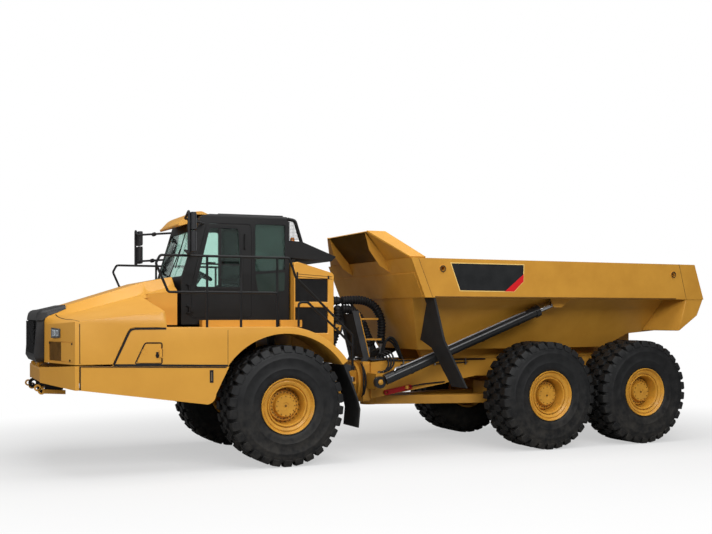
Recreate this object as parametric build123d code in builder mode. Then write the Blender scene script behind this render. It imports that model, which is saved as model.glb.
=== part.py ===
"""Articulated dump truck with a forward unit, a rear unit hinged behind it and a tipping body.

Millimetres, +X forward, +Y left, +Z up.  The layout is measured from the ground under the
front axle; every finished piece then moves by the same amount, so that the origin lies on
the ground at the middle of the truck's length.
"""
import os
from math import atan2, cos, sin, sqrt, tan

from build123d import *

# ---------------------------------------------------------------- driving dimensions
tyre_radius = 895
tyre_width = 740
wheel_y = 1342                      # centre of each wheel from the middle plane
rim_radius = 414
wheelbase = 4622                    # front axle to the first axle of the tandem
tandem_pitch = 1967
axle_z = tyre_radius
mid_axle_x = -wheelbase
rear_axle_x = mid_axle_x - tandem_pitch

half_width = 1660                   # outside of the side panels and of the dump body
nose_x = 3450                       # front of the grille surround
tail_x = -7932                      # rear tip of the dump body
skin = 20                           # sheet of the hood, fenders and side panels
gap = 6                             # open joint between pieces that move apart
seat_gap = 0.3                      # between pieces of two bodies that seat on each other

deck_z = 2060                       # top of the fender decks beside the cab
fender_inner_y = 900
module_half = 1000                  # radiator module behind the cab
cab_half = 850
cab_floor_z = 2178
cab_wall = 50
cab_top_z = 3690
cab_base_z = deck_z + 35
cab_front_x = 1385
cab_rear_x = -325
rail_y = 1620                       # handrails
rail_radius = 18

pivot_x = -1500                     # vertical steering axis between the two units
hitch_z = 1110
hitch_height = 400
clevis_radius = 210
frame_half = 450                    # outside of the rear frame
frame_top_z = 1480
body_gap = 5                        # under the body's runners when it is down

tip_x = -7100                       # axis of the dump body's hinge
tip_z = 1750
tip_pin_radius = 45
body_rail_top = 3130
body_rail_bottom = 2511
body_floor_z = 1660
body_floor_half = 750
body_hull_half = 1240               # hull's half width under the side rail
body_sheet = 30

hoist_foot = (-1860, 900, 1150)
hoist_eye = (-4950, 1300, 2430)
hoist_barrel_radius = 90
hoist_rod_radius = 55
steer_foot = (-350, 500)
steer_eye = (-1580, 420)
steer_z = 1180
steer_barrel_radius = 58
steer_rod_radius = 32
pin_play = 0.05                     # radial play of a pin in its bore
rod_play = 0.05

bumper_z = (1273, 1491)
bumper_front_x = 3380
bumper_half = 650
corner_x = 3038                     # where the chamfered nose meets the sides
hood_bottom_z = 1563
hood_rear_x = 1470
hood_nose_x = 3310
hood_nose_half = 660
hood_pivot = (3370, 1520)
hood_pin_radius = 12
hinge_lug_radius = 24
hood_lug_y = (346, 376)             # inner and outer faces of the hood's hinge lugs
bumper_lug_y = (306, 340)
grille_half = 600

length_middle = (nose_x + tail_x) / 2
to_origin = Location((-length_middle, 0, 0))
rightward = (0, -1, 0)


# ---------------------------------------------------------------- datum planes
def side(y):
    """Upright plane along the truck at y: sketch X is forward and sketch Y is up."""
    return Plane(origin=(0, y, 0), x_dir=(1, 0, 0), z_dir=rightward)


def section(x):
    """Upright plane across the truck at x: sketch X is left and sketch Y is up."""
    return Plane(origin=(x, 0, 0), x_dir=(0, 1, 0), z_dir=(1, 0, 0))


def level(z):
    """Level plane at height z."""
    return Plane.XY.offset(z)


def toward(start, end):
    """Plane at start whose normal points at end."""
    run = Vector(*end) - Vector(*start)
    return Plane(origin=start, z_dir=run.normalized())


def distance(start, end):
    """Straight distance between two points."""
    return (Vector(*end) - Vector(*start)).length


def save(piece, name):
    """Label a finished piece, move it to the truck's origin and write it."""
    placed = piece.moved(to_origin)
    placed.label = name
    export_step(placed, f"parts/{name}.step")


def tube_along(points, radius, bend):
    """Round bar along a route of straight runs joined by arcs."""
    with BuildPart() as bar:
        with BuildLine() as route:
            FilletPolyline(*points, radius=bend)
        with BuildSketch(Plane(origin=route.line @ 0, z_dir=route.line % 0)):
            Circle(radius)
        sweep()
    return bar.part


os.makedirs("parts", exist_ok=True)

# ---------------------------------------------------------------- front frame
frame_rail_y = (400, 520)           # inner and outer faces of the two front rails
spine_half = 270                    # central box that runs back to the hitch
clevis_plate = 70
clevis_z = hitch_height / 2 + gap   # inner faces of the clevis plates from hitch_z
frame_nose_x = 3110
frame_rail_top = 1480
post_y = 470                        # posts that stand on the front rails
lug_y_outer = 595
lug_plate = 50
tow_eye = (3330, 1197)
tow_eye_radius = 32
engine_half = 390
outrigger = (-1030, -1090, 1400, 1460)    # front, rear, bottom and top of the rear fender carrier
pivot_pin_radius = 70

with BuildPart() as front_frame:
    with BuildSketch(side(-frame_rail_y[0])):
        Polygon((frame_nose_x, 1240), (frame_nose_x, 1440), (2300, 1440), (2100, frame_rail_top),
                (-220, frame_rail_top), (-220, 1250), (300, 1150), (1900, 1150), (2500, 1240), align=None)
    extrude(amount=frame_rail_y[1] - frame_rail_y[0])
    mirror(about=Plane.XZ)
    # central box behind the front axle, open at its belly
    with BuildSketch(side(0)):
        Polygon((420, 1185), (420, frame_rail_top), (-900, 1450), (-1200, 1400), (-1200, 830),
                (-900, 830), (-520, 1060), (-280, 1060), (-120, 1185), align=None)
    extrude(amount=spine_half, both=True)
    with BuildSketch(side(0)):
        Polygon((380, 1150), (380, 1440), (-900, 1410), (-1150, 1360), (-1150, 800),
                (-900, 800), (-520, 1030), (-280, 1030), (-120, 1150), align=None)
    extrude(amount=spine_half - 40, both=True, mode=Mode.SUBTRACT)
    # cross members
    for member_x, member_half in ((frame_nose_x - 60, lug_y_outer), (360, frame_rail_y[0] + 1),
                                  (-155, frame_rail_y[0] + 1)):
        with Locations((member_x, 0, 1340)):
            Box(120, 2 * member_half, 160)
    # engine mounts on the rails
    mount_reach = frame_rail_y[0] - engine_half - seat_gap
    for mount_x in (1250, 2200):
        for hand in (1, -1):
            with Locations((mount_x, hand * (frame_rail_y[0] + 1 - mount_reach / 2), 1350)):
                Box(140, mount_reach + 2, 80)
    # clevis plates of the steering hitch, with the upright pin through them
    for plate_z in (hitch_z + clevis_z, hitch_z - clevis_z - clevis_plate):
        with BuildSketch(level(plate_z)):
            with BuildLine():
                Line((-1150, spine_half), (pivot_x, clevis_radius))
                ThreePointArc((pivot_x, clevis_radius), (pivot_x - clevis_radius, 0),
                              (pivot_x, -clevis_radius))
                Line((pivot_x, -clevis_radius), (-1150, -spine_half))
                Line((-1150, -spine_half), (-1150, spine_half))
            make_face()
        extrude(amount=clevis_plate)
    with Locations((pivot_x, 0, hitch_z)):
        Cylinder(pivot_pin_radius, 2 * (clevis_z + clevis_plate) + 60)
    # feet of the steering cylinders
    with BuildSketch(level(steer_z - 71)):
        with Locations((steer_foot[0] + 25, steer_foot[1] - 85), (steer_foot[0] + 25, -steer_foot[1] + 85)):
            Rectangle(150, 310)
    extrude(amount=30)
    with Locations((steer_foot[0], steer_foot[1], steer_z - 40), (steer_foot[0], -steer_foot[1], steer_z - 40)):
        Cylinder(25, 150)
    # tow lugs below the bumper
    for lug_face in (lug_y_outer, -lug_y_outer + lug_plate):
        with BuildSketch(side(lug_face)):
            with BuildLine():
                Polyline((frame_nose_x - 60, 1400), (frame_nose_x - 60, 1160), (3330, 1120))
                ThreePointArc((3330, 1120), (3408, 1198), (3330, bumper_z[0] - seat_gap))
                Polyline((3330, bumper_z[0] - seat_gap), (frame_nose_x, bumper_z[0] - seat_gap),
                         (frame_nose_x, 1400), (frame_nose_x - 60, 1400))
            make_face()
            with Locations(tow_eye):
                Circle(tow_eye_radius, mode=Mode.SUBTRACT)
        extrude(amount=lug_plate)
save(front_frame.part, "front_frame")

carrier_width = 80
carrier_z = deck_z - skin - seat_gap      # top of the brackets under the decks
spine_top = 1428.6                  # height of the frame's spine under the rear outrigger
with BuildPart() as deck_supports:
    # posts that stand on the rails under the cab
    with BuildSketch(level(frame_rail_top)):
        with Locations(*[(post_x, hand * post_y) for post_x in (1200, -150) for hand in (1, -1)]):
            Rectangle(100, 100)
    extrude(amount=cab_base_z - seat_gap - frame_rail_top)
    # brackets that reach out from the rails under the fenders' decks
    for carrier_x in (1000, 2050):
        with BuildSketch(section(carrier_x - carrier_width / 2)):
            Polygon((post_y - 45, frame_rail_top), (post_y + 45, frame_rail_top), (post_y + 45, carrier_z - 200),
                    (post_y + 150, carrier_z - 80), (half_width - 100, carrier_z - 60),
                    (half_width - 100, carrier_z), (post_y - 45, carrier_z), align=None)
        extrude(amount=carrier_width)
    mirror(about=Plane.XZ)
    # outrigger that carries the fenders' tails and the mud flaps, let in over the spine
    with Locations(((outrigger[0] + outrigger[1]) / 2, 0, (outrigger[2] + outrigger[3]) / 2)):
        Box(outrigger[0] - outrigger[1], 2 * (rail_y + 20), outrigger[3] - outrigger[2])
    with Locations(((outrigger[0] + outrigger[1]) / 2, 0, spine_top - 100)):
        Box(200, 2 * (spine_half + seat_gap), 200, mode=Mode.SUBTRACT)
save(deck_supports.part, "deck_supports")

engine_box = (2450, 950, 1150, 2080)   # front, rear, bottom and top of the engine
with BuildPart() as engine:
    with BuildSketch(section(engine_box[1])):
        with Locations((0, (engine_box[2] + engine_box[3]) / 2)):
            Rectangle(2 * engine_half, engine_box[3] - engine_box[2])
    extrude(amount=engine_box[0] - engine_box[1])
    chamfer(engine.edges().filter_by(Axis.X), 60)
save(engine.part, "engine")

# ---------------------------------------------------------------- axles
axle_tube = 160
spindle_radius = 90                 # stub that the wheel turns on
spindle_reach = 100                 # past the wheel's centre
hub_face_y = 1000                   # inboard face of the wheel hubs
diff_radius = 270


def axle_housing(x):
    """Axle housing at x: a banjo centre, tapered arms and brake drums at the ends."""
    with BuildPart() as housing:
        with BuildSketch(section(x)) as outline:
            with BuildLine():
                Polyline((0, 0), (wheel_y + spindle_reach, 0), (wheel_y + spindle_reach, spindle_radius),
                         (hub_face_y - gap, spindle_radius), (hub_face_y - gap, 200),
                         (hub_face_y - 170, 200), (hub_face_y - 200, axle_tube), (420, axle_tube),
                         (diff_radius, diff_radius - 30), (120, diff_radius), (0, diff_radius))
                Line((0, diff_radius), (0, 0))
            make_face()
        revolve(axis=Axis((x, 0, 0), (0, 1, 0)))
        mirror(about=Plane.XZ)
        with BuildSketch(section(x)):
            with BuildLine():
                Polyline((-diff_radius + 30, -160), (-diff_radius + 30, 160), (diff_radius - 30, 160),
                         (diff_radius - 30, -160), close=True)
            make_face()
        extrude(amount=diff_radius + 70)
    return housing.part.moved(Location((0, 0, axle_z)))


with BuildPart() as front_axle:
    add(axle_housing(0))
save(front_axle.part, "front_axle")

with BuildPart() as tandem_axles:
    add(axle_housing(mid_axle_x))
    add(axle_housing(rear_axle_x))
save(tandem_axles.part, "tandem_axles")

strut_foot_z = axle_z + axle_tube
with BuildPart() as front_struts:
    # suspension cylinders between the front axle and the frame rails
    with BuildSketch(level(strut_foot_z + seat_gap)):
        with Locations((0, 650), (0, -650)):
            Circle(60)
    extrude(amount=420)
    with BuildSketch(level(strut_foot_z + 150)):
        with Locations((0, 650), (0, -650)):
            Circle(85)
    extrude(amount=300)
    # brackets that carry the cylinders on the rails
    for hand in (1, -1):
        with BuildSketch(level(strut_foot_z + 300)):
            with Locations((0, hand * (frame_rail_y[1] + seat_gap + 95))):
                Rectangle(160, 190)
        extrude(amount=60)
save(front_struts.part, "front_struts")

# ---------------------------------------------------------------- bumper and side panels
skirt_seam_z = (1547, 1495)         # top edge at the nose corner and beside the wheel arch
skirt_rear_x = 888
panel_front_bottom = 1217
corner_return = 54                  # length of the bumper's end beside the side panel
panel_front_x = corner_x - corner_return - gap
with BuildPart() as bumper:
    with BuildSketch(section(frame_nose_x + seat_gap)):
        with Locations((0, (bumper_z[0] + bumper_z[1]) / 2)):
            Rectangle(2 * bumper_half, bumper_z[1] - bumper_z[0])
    extrude(amount=bumper_front_x - frame_nose_x - seat_gap)
    fillet(bumper.edges().filter_by(Axis.Y).group_by(Axis.X)[-1], 30)
    # chamfered corners that run back to the side panels
    with BuildSketch(side(bumper_half)):
        with Locations((bumper_front_x - 50, (bumper_z[0] + bumper_z[1]) / 2)):
            Rectangle(98, bumper_z[1] - bumper_z[0] - 2)
    with BuildSketch(side(half_width)):
        with Locations((corner_x - corner_return / 2, (panel_front_bottom + skirt_seam_z[0]) / 2)):
            Rectangle(corner_return, skirt_seam_z[0] - panel_front_bottom)
    loft(ruled=True)
    # lugs and pins that the hood swings on
    with BuildSketch(side(bumper_lug_y[1])):
        Polygon((3300, bumper_z[1] - 6), (3366, bumper_z[1] - 6), (3393, 1516), (3347, 1524), align=None)
        with Locations(hood_pivot):
            Circle(hinge_lug_radius)
    extrude(amount=bumper_lug_y[1] - bumper_lug_y[0])
    with BuildSketch(side(hood_lug_y[1] + 4)):
        with Locations(hood_pivot):
            Circle(hood_pin_radius)
    extrude(amount=hood_lug_y[1] + 4 - bumper_lug_y[0])
    mirror(about=Plane.XZ)
save(bumper.part, "bumper")

with BuildPart() as side_panels:
    with BuildSketch(side(half_width)):
        with BuildLine():
            Polyline((panel_front_x, panel_front_bottom), (panel_front_x, skirt_seam_z[0]),
                     (skirt_rear_x, skirt_seam_z[1]))
            Line((skirt_rear_x, skirt_seam_z[1]), (1080, 1110))
            ThreePointArc((1080, 1110), (1118, 1010), (1210, 965))
            Line((1210, 965), (panel_front_x, panel_front_bottom))
        make_face()
    extrude(amount=300)
    with BuildSketch(side(half_width - skin)):
        with BuildLine():
            Polyline((corner_x + 10, 1250), (corner_x + 10, skirt_seam_z[0] + 20),
                     (skirt_rear_x + 40, skirt_seam_z[1] + 20))
            Line((skirt_rear_x + 40, skirt_seam_z[1] + 20), (1115, 1115))
            ThreePointArc((1115, 1115), (1145, 1025), (1225, 995))
            Line((1225, 995), (corner_x + 10, 1250))
        make_face()
    extrude(amount=300, mode=Mode.SUBTRACT)
    # upright slot of the latch
    with BuildSketch(side(half_width)):
        with Locations((1149, 1362)):
            SlotOverall(180, 50, rotation=90)
    extrude(amount=8, mode=Mode.SUBTRACT)
    # brackets to the frame rail
    for bracket_x in (1500, 2700):
        with Locations((bracket_x, (half_width - skin / 2 + frame_rail_y[1] + seat_gap) / 2, 1330)):
            Box(80, half_width - skin / 2 - frame_rail_y[1] - seat_gap, 90)
    mirror(about=Plane.XZ)
save(side_panels.part, "side_panels")

# ---------------------------------------------------------------- fenders
arch_centre = (15, 873)
arch_radius = 1090


def fender_outline(inset):
    """Side outline of the fender, drawn inward by inset from its sheet-metal edge."""
    with BuildSketch(side(half_width)) as outline:
        with BuildLine():
            Polyline((skirt_rear_x + 12, 1400), (skirt_rear_x + 12, skirt_seam_z[1] + gap),
                     (2538, 1536 + gap), (2327, 1998))
            ThreePointArc((2327, 1998), (2292, 2040), (2232, deck_z))
            Line((2232, deck_z), (-100, deck_z))
            ThreePointArc((-100, deck_z), (-600, 1885), (-970, 1545))
            Polyline((-970, 1545), (-904, 1495), (-600, 1400), (skirt_rear_x + 12, 1400))
        make_face()
        with Locations(arch_centre):
            Circle(arch_radius, mode=Mode.SUBTRACT)
        if inset:
            offset(amount=-inset, mode=Mode.REPLACE, kind=Kind.INTERSECTION)
    return outline.sketch


def service_outline(inset):
    """Outline of the service door in the fender, drawn inward by inset."""
    with BuildSketch() as outline:
        Polygon((2090, 1844), (1866, 1842), (1866, 1564), (2222, 1571), align=None)
        fillet(outline.vertices(), 25)
        if inset:
            offset(amount=-inset, mode=Mode.REPLACE)
    return outline.sketch


service_pivot = (1869, half_width + 10)
service_pin_radius = 5
service_knuckle_z = 1703
service_knuckle = 110
with BuildPart() as fenders:
    add(fender_outline(0))
    extrude(amount=half_width - fender_inner_y, dir=rightward)
    with BuildPart(mode=Mode.PRIVATE) as hollow:
        add(fender_outline(skin).moved(Location((0, -skin, 0))))
        extrude(amount=half_width - fender_inner_y + 40, dir=rightward)
    add(hollow.part, mode=Mode.SUBTRACT)
    # pads beside the foot of the cab
    for pad_x, pad_y in (((-36, 1115), (cab_half + 20, 1040)), ((-462, -109), (module_half + gap, 1045))):
        with BuildSketch(level(deck_z - 12)):
            with Locations(((pad_x[0] + pad_x[1]) / 2, (pad_y[0] + pad_y[1]) / 2)):
                Rectangle(pad_x[1] - pad_x[0], pad_y[1] - pad_y[0])
        extrude(amount=112)
    mirror(about=Plane.XZ)
    # opening of the service door, with its hinge pin at the rear edge
    with BuildSketch(side(half_width + 1)):
        add(service_outline(0))
    extrude(amount=skin + 2, mode=Mode.SUBTRACT)
    with Locations((*service_pivot, service_knuckle_z)):
        Cylinder(service_pin_radius, service_knuckle + 20)
    for bracket_z in (service_knuckle_z + service_knuckle / 2 + 6, service_knuckle_z - service_knuckle / 2 - 6):
        with Locations((service_pivot[0] - 13, service_pivot[1], bracket_z)):
            Box(26, 18, 10)
        with Locations((service_pivot[0] - 17, half_width, bracket_z)):
            Box(18, 4, 10)
save(fenders.part, "fenders")

with BuildPart() as service_door:
    with BuildSketch(side(half_width)):
        add(service_outline(gap))
    extrude(amount=skin)
    with Locations((*service_pivot, service_knuckle_z)):
        Cylinder(9, service_knuckle)
    with Locations((service_pivot[0] + 16, service_pivot[1] - 3, service_knuckle_z)):
        Box(28, 18, service_knuckle)
    with Locations((*service_pivot, service_knuckle_z)):
        Cylinder(service_pin_radius + pin_play, service_knuckle + 10, mode=Mode.SUBTRACT)
save(service_door.part, "service_door")

with BuildPart() as front_mudflaps:
    with BuildSketch(side(half_width - skin - 5)):
        Polygon((-912, 1470), (-960, 1485), (outrigger[0] + seat_gap, 1485), (outrigger[0] + seat_gap, 1390),
                (-994, 1390), (-1151, 959), (-1189, 801), (-1162, 523), (-1140, 523), (-1165, 800),
                (-1128, 959), align=None)
    extrude(amount=560)
    mirror(about=Plane.XZ)
save(front_mudflaps.part, "front_mudflaps")

# ---------------------------------------------------------------- hood and nose
# stations of the hood's outside: x, then half widths and heights of its four edges
#           x          bottom half  side top z  shoulder (y, z)   crown (y, z)
crown_half = 950
hood_table = [
    (hood_nose_x, hood_nose_half, 2100, (600, 2225), (400, 2300)),
    (corner_x, half_width, 2143, (780, 2240), (550, 2365)),
    (1900, half_width, 2267, (800, 2545), (600, 2725)),
    (1780, half_width, 2281, (800, 2575), (600, 2748)),
]
pod_rake = ((1791, deck_z), (1791, 2088), (1821, 2298), (2002, 2527), (2110, 2800))
crown_table = [                     # the narrow rear of the hood, beside nothing but its own walls
    (1900, crown_half, 2540, (800, 2545), (600, 2725)),
    (hood_rear_x, crown_half, 2600, (800, 2655), (600, 2808)),
]
nose_tilt = atan2(hood_nose_x - corner_x, half_width - hood_nose_half)
vent_y = (800, 1600)                # vent in each chamfered corner of the nose
vent_z = (1590, 1872)


def hood_loft(table, inset, bottom):
    """Ruled loft through hood stations, drawn inward by inset."""
    with BuildPart() as form:
        for x, half, side_z, shoulder, crown in table:
            with BuildSketch(section(x)):
                Polygon((half - inset, bottom), (half - inset, side_z - inset),
                        (shoulder[0] - inset / 2, shoulder[1] - inset), (crown[0] - inset / 2, crown[1] - inset),
                        (-crown[0] + inset / 2, crown[1] - inset), (-shoulder[0] + inset / 2, shoulder[1] - inset),
                        (-half + inset, side_z - inset), (-half + inset, bottom), align=None)
        loft(ruled=True)
    return form.part


def pod_form(table, inset, bottom):
    """Nose and pods of the hood, drawn inward by inset; the pods end at their rake."""
    with BuildPart() as form:
        add(hood_loft(table, inset, bottom))
        for start_y in (half_width + 10, inset - crown_half):
            with BuildSketch(side(start_y)):
                Polygon(*[(x + inset, z) for x, z in pod_rake], (1700, 2800), (1700, deck_z), align=None)
            extrude(amount=half_width + 10 - crown_half + inset, mode=Mode.SUBTRACT)
    return form.part


def shifted(station, shift):
    """Hood station moved along the truck."""
    return (station[0] + shift, *station[1:])


def on_nose(y, z):
    """Plane on the chamfered corner of the nose at y and z: sketch X runs outward and Y up."""
    x = hood_nose_x - (y - hood_nose_half) * tan(nose_tilt)
    return Plane(origin=(x, y, z), x_dir=(-sin(nose_tilt), cos(nose_tilt), 0),
                 z_dir=(cos(nose_tilt), sin(nose_tilt), 0))


with BuildPart() as vent_bays:
    with BuildSketch(on_nose((vent_y[0] + vent_y[1]) / 2, (vent_z[0] + vent_z[1]) / 2)):
        RectangleRounded((vent_y[1] - vent_y[0]) / cos(nose_tilt), vent_z[1] - vent_z[0], 20)
    extrude(amount=10, both=True)
    mirror(about=Plane.XZ)


with BuildPart() as hood:
    add(pod_form(hood_table, 0, hood_bottom_z))
    add(hood_loft(crown_table, 0, deck_z + 30))
    pod_inside = [shifted(hood_table[0], -skin), shifted(hood_table[1], -skin), *hood_table[2:]]
    add(pod_form(pod_inside, skin, hood_bottom_z - skin), mode=Mode.SUBTRACT)
    crown_inside = [shifted(crown_table[0], 2 * skin), shifted(crown_table[1], -skin)]
    add(hood_loft(crown_inside, skin, hood_bottom_z - skin), mode=Mode.SUBTRACT)
    # intake behind the grille, and the open rear towards the cab
    with BuildSketch(section(3200)):
        with Locations((0, 1930)):
            Rectangle(2 * grille_half - 220, 480)
    extrude(amount=200, mode=Mode.SUBTRACT)
    with BuildSketch(section(hood_rear_x - 50)):
        with Locations((0, 2300)):
            Rectangle(1860, 500)
    extrude(amount=200, mode=Mode.SUBTRACT)
    # room for the fenders and the deck
    with BuildSketch(side(0)):
        Polygon((2544 + gap, 1400), (2544 + gap, 1536), (2333 + gap, 2000), (2296 + gap, 2050),
                (2236 + gap, deck_z + gap), (1000, deck_z + gap), (1000, 1400), align=None)
    extrude(amount=half_width + 10, both=True, mode=Mode.SUBTRACT)
    add(vent_bays.part, mode=Mode.SUBTRACT)
    # hinge lugs below the grille
    for outer_y in (hood_lug_y[1], -hood_lug_y[0]):
        with BuildSketch(side(outer_y)):
            Polygon((hood_nose_x - skin + 1, 1600), (hood_nose_x - 1, 1600), (hood_nose_x - 1, 1558), (3378, 1542),
                    (3358, 1499), (hood_nose_x - skin + 1, 1562), align=None)
            with Locations(hood_pivot):
                Circle(hinge_lug_radius)
                Circle(hood_pin_radius + pin_play, mode=Mode.SUBTRACT)
        extrude(amount=hood_lug_y[1] - hood_lug_y[0])
save(hood.part, "hood")

# ---------------------------------------------------------------- grille and lamps
grille_z = (hood_bottom_z, 2263)
grille_back_x = hood_nose_x + seat_gap
louvre_pitch = 80
with BuildPart() as grille:
    with BuildSketch(section(grille_back_x)):
        with Locations((0, (grille_z[0] + grille_z[1]) / 2)):
            RectangleRounded(2 * grille_half, grille_z[1] - grille_z[0], 70)
    extrude(amount=nose_x - grille_back_x)
    # the face leans back towards the top
    with BuildSketch(side(0)):
        Polygon((nose_x, 1640), (nose_x - 45, grille_z[1] + 10), (nose_x + 60, grille_z[1] + 10),
                (nose_x + 60, 1500), (nose_x - 40, 1500), (nose_x - 40, grille_z[0] - 1), align=None)
    extrude(amount=grille_half + 10, both=True, mode=Mode.SUBTRACT)
    # bay that holds the louvres
    with BuildSketch(section(nose_x - 100)):
        with Locations((0, 1930)):
            RectangleRounded(2 * grille_half - 220, 480, 40)
    extrude(amount=110, mode=Mode.SUBTRACT)
    with BuildSketch(side(grille_half - 108)):
        with Locations((nose_x - 75, 1930)):
            with GridLocations(0, louvre_pitch, 1, 5):
                Rectangle(56, 22, rotation=-25)
    extrude(amount=2 * (grille_half - 108))
save(grille.part, "grille")

lamp_y = 1005                       # inboard end of the lamp clusters
with BuildPart() as headlights:
    with BuildSketch(on_nose(lamp_y, 1985).offset(seat_gap)):
        Polygon((-60, -70), (190, -60), (190, 60), (-60, 75), align=None)
    extrude(amount=28)
    mirror(about=Plane.XZ)
save(headlights.part, "headlights")

# ---------------------------------------------------------------- cab
sill_z = 2640


def cab_outline(inset, y):
    """Side outline of the cab on the plane at y, drawn inward by inset."""
    with BuildSketch(side(y)) as outline:
        Polygon((cab_front_x, cab_base_z), (cab_front_x, 2745), (1100, cab_top_z), (cab_rear_x, cab_top_z),
                (cab_rear_x, cab_base_z), align=None)
        if inset:
            offset(amount=-inset, mode=Mode.REPLACE, kind=Kind.INTERSECTION)
    return outline.sketch


def door_outline(inset):
    """Outline of the cab door, drawn inward by inset."""
    with BuildSketch() as outline:
        Polygon((1240, 2200), (1215, 2730), (990, 3610), (300, 3620), (285, 2200), align=None)
        fillet(outline.vertices(), 60)
        if inset:
            offset(amount=-inset, mode=Mode.REPLACE)
    return outline.sketch


def cab_windows(inset):
    """Solids that fill the fixed windows of the cab, drawn inward by inset."""
    with BuildPart() as filler:
        with BuildSketch(section(1000)):
            with Locations((0, 3170)):
                RectangleRounded(2 * (cab_half - 75) - 2 * inset, 700 - 2 * inset, 60)
        extrude(amount=500)
        with BuildSketch(section(-500)):
            with Locations((0, 3120)):
                RectangleRounded(1240 - 2 * inset, 820 - 2 * inset, 60)
        extrude(amount=300)
        rear_pane = ((230, 2900), (230, 3625), (-255, 3630), (-250, 2940))
        door_pane = ((1190, sill_z), (985, 3600), (330, 3620), (330, sill_z))
        for pane, face_y in ((rear_pane, cab_half + 100), (rear_pane, 200 - cab_half), (door_pane, 200 - cab_half)):
            with BuildSketch(side(face_y)):
                Polygon(*pane, align=None)
                if inset:
                    offset(amount=-inset, mode=Mode.REPLACE)
            extrude(amount=300)
    return filler.part


with BuildPart() as cab_cavity:
    add(cab_outline(cab_wall, cab_half - cab_wall))
    extrude(amount=2 * (cab_half - cab_wall), dir=rightward)
    with Locations((0, 0, cab_floor_z + cab_wall - 500)):
        Box(4000, 2 * cab_half, 1000, mode=Mode.SUBTRACT)
    # the roof panel closes the top
    with BuildSketch(level(3500)):
        with Locations(((1010 + cab_rear_x + cab_wall) / 2, 0)):
            Rectangle(1010 - cab_rear_x - cab_wall, 2 * (cab_half - cab_wall))
    extrude(amount=250)

door_pivot = (1262, cab_half + 22)
door_pin_radius = 10
door_hinge_z = (2320, 2640)
door_knuckle = 80
with BuildPart() as cab:
    add(cab_outline(0, cab_half))
    extrude(amount=2 * cab_half, dir=rightward)
    add(cab_cavity.part, mode=Mode.SUBTRACT)
    add(cab_windows(0), mode=Mode.SUBTRACT)
    with BuildSketch(side(cab_half + 10)):
        add(door_outline(-gap))
    extrude(amount=cab_wall + 20, mode=Mode.SUBTRACT)
    # pins of the door's hinges
    for hinge_z in door_hinge_z:
        with Locations((*door_pivot, hinge_z)):
            Cylinder(door_pin_radius, door_knuckle + 40)
        for carrier_z in (hinge_z + door_knuckle / 2 + 11, hinge_z - door_knuckle / 2 - 11):
            with Locations((door_pivot[0] + 15, (door_pivot[1] + cab_half) / 2 + 8, carrier_z)):
                Box(54, door_pivot[1] - cab_half + 18, 20)
save(cab.part, "cab")

glass_thickness = 8
glass_inset = 10                    # glass stands back from the cab's outer face
with BuildPart() as glass_core:
    add(cab_outline(glass_thickness + glass_inset, cab_half - glass_inset - glass_thickness))
    extrude(amount=2 * (cab_half - glass_inset - glass_thickness), dir=rightward)

with BuildPart() as cab_glass:
    add(cab_outline(glass_inset, cab_half - glass_inset))
    extrude(amount=2 * (cab_half - glass_inset), dir=rightward)
    add(glass_core.part, mode=Mode.SUBTRACT)
    add(cab_windows(0.4), mode=Mode.INTERSECT)
save(cab_glass.part, "cab_glass")

with BuildPart() as cab_door:
    with BuildSketch(side(cab_half)):
        add(door_outline(0))
        Polygon((1170, sill_z + 20), (955, 3545), (500, 3555), (455, sill_z + 20), align=None,
                mode=Mode.SUBTRACT)
    extrude(amount=cab_wall)
    # knuckles of the hinges
    for hinge_z in door_hinge_z:
        with Locations((*door_pivot, hinge_z)):
            Cylinder(18, door_knuckle)
        with Locations((door_pivot[0] - 38, door_pivot[1] - 4, hinge_z)):
            Box(76, 2 * (door_pivot[1] - 4 - cab_half - gap), door_knuckle)
        with Locations((door_pivot[0] - 60, cab_half + gap / 2, hinge_z)):
            Box(32, gap + 2, door_knuckle)
        with Locations((*door_pivot, hinge_z)):
            Cylinder(door_pin_radius + pin_play, door_knuckle + 10, mode=Mode.SUBTRACT)
    # pull handle
    with BuildSketch(level(3240)):
        with Locations((400, cab_half + 32)):
            Circle(13)
    extrude(amount=230)
    with Locations((400, cab_half + 14, 3255), (400, cab_half + 14, 3455)):
        Box(24, 40, 24)
save(cab_door.part, "cab_door")

with BuildPart() as door_glass:
    with BuildSketch(side(cab_half - 12)):
        Polygon((1169.4, sill_z + 20.4), (954.7, 3544.6), (500.4, 3554.6), (455.4, sill_z + 20.4), align=None)
    extrude(amount=glass_thickness)
save(door_glass.part, "door_glass")

with BuildPart() as cab_roof:
    with BuildSketch(side(0)):
        with BuildLine():
            Polyline((1100, cab_top_z + seat_gap), (cab_rear_x, cab_top_z + seat_gap), (cab_rear_x, cab_top_z + 30))
            ThreePointArc((cab_rear_x, cab_top_z + 30), (cab_rear_x + 13, cab_top_z + 62),
                          (cab_rear_x + 45, cab_top_z + 75))
            Polyline((cab_rear_x + 45, cab_top_z + 75), (930, cab_top_z + 75), (1060, cab_top_z + 45),
                     (1100, cab_top_z + seat_gap))
        make_face()
    extrude(amount=cab_half - 15, both=True)
    fillet(cab_roof.faces().sort_by(Axis.Z)[-1].edges().filter_by(Axis.X), 40)
save(cab_roof.part, "cab_roof")

visor_seat_z = cab_top_z + 75 + seat_gap
with BuildPart() as visor:
    # yellow brow over the windscreen
    with BuildSketch(side(0)):
        with BuildLine():
            Polyline((880, visor_seat_z), (1112, visor_seat_z), (1112, cab_top_z + 5),
                     (1126, cab_top_z - 40), (1340, 3585))
            ThreePointArc((1340, 3585), (1368, 3598), (1352, 3625))
            Line((1352, 3625), (1250, 3735))
            ThreePointArc((1250, 3735), (1130, 3800), (1000, 3815))
            Line((1000, 3815), (880, visor_seat_z))
        make_face()
    extrude(amount=620, both=True)
save(visor.part, "cab_visor")

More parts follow.
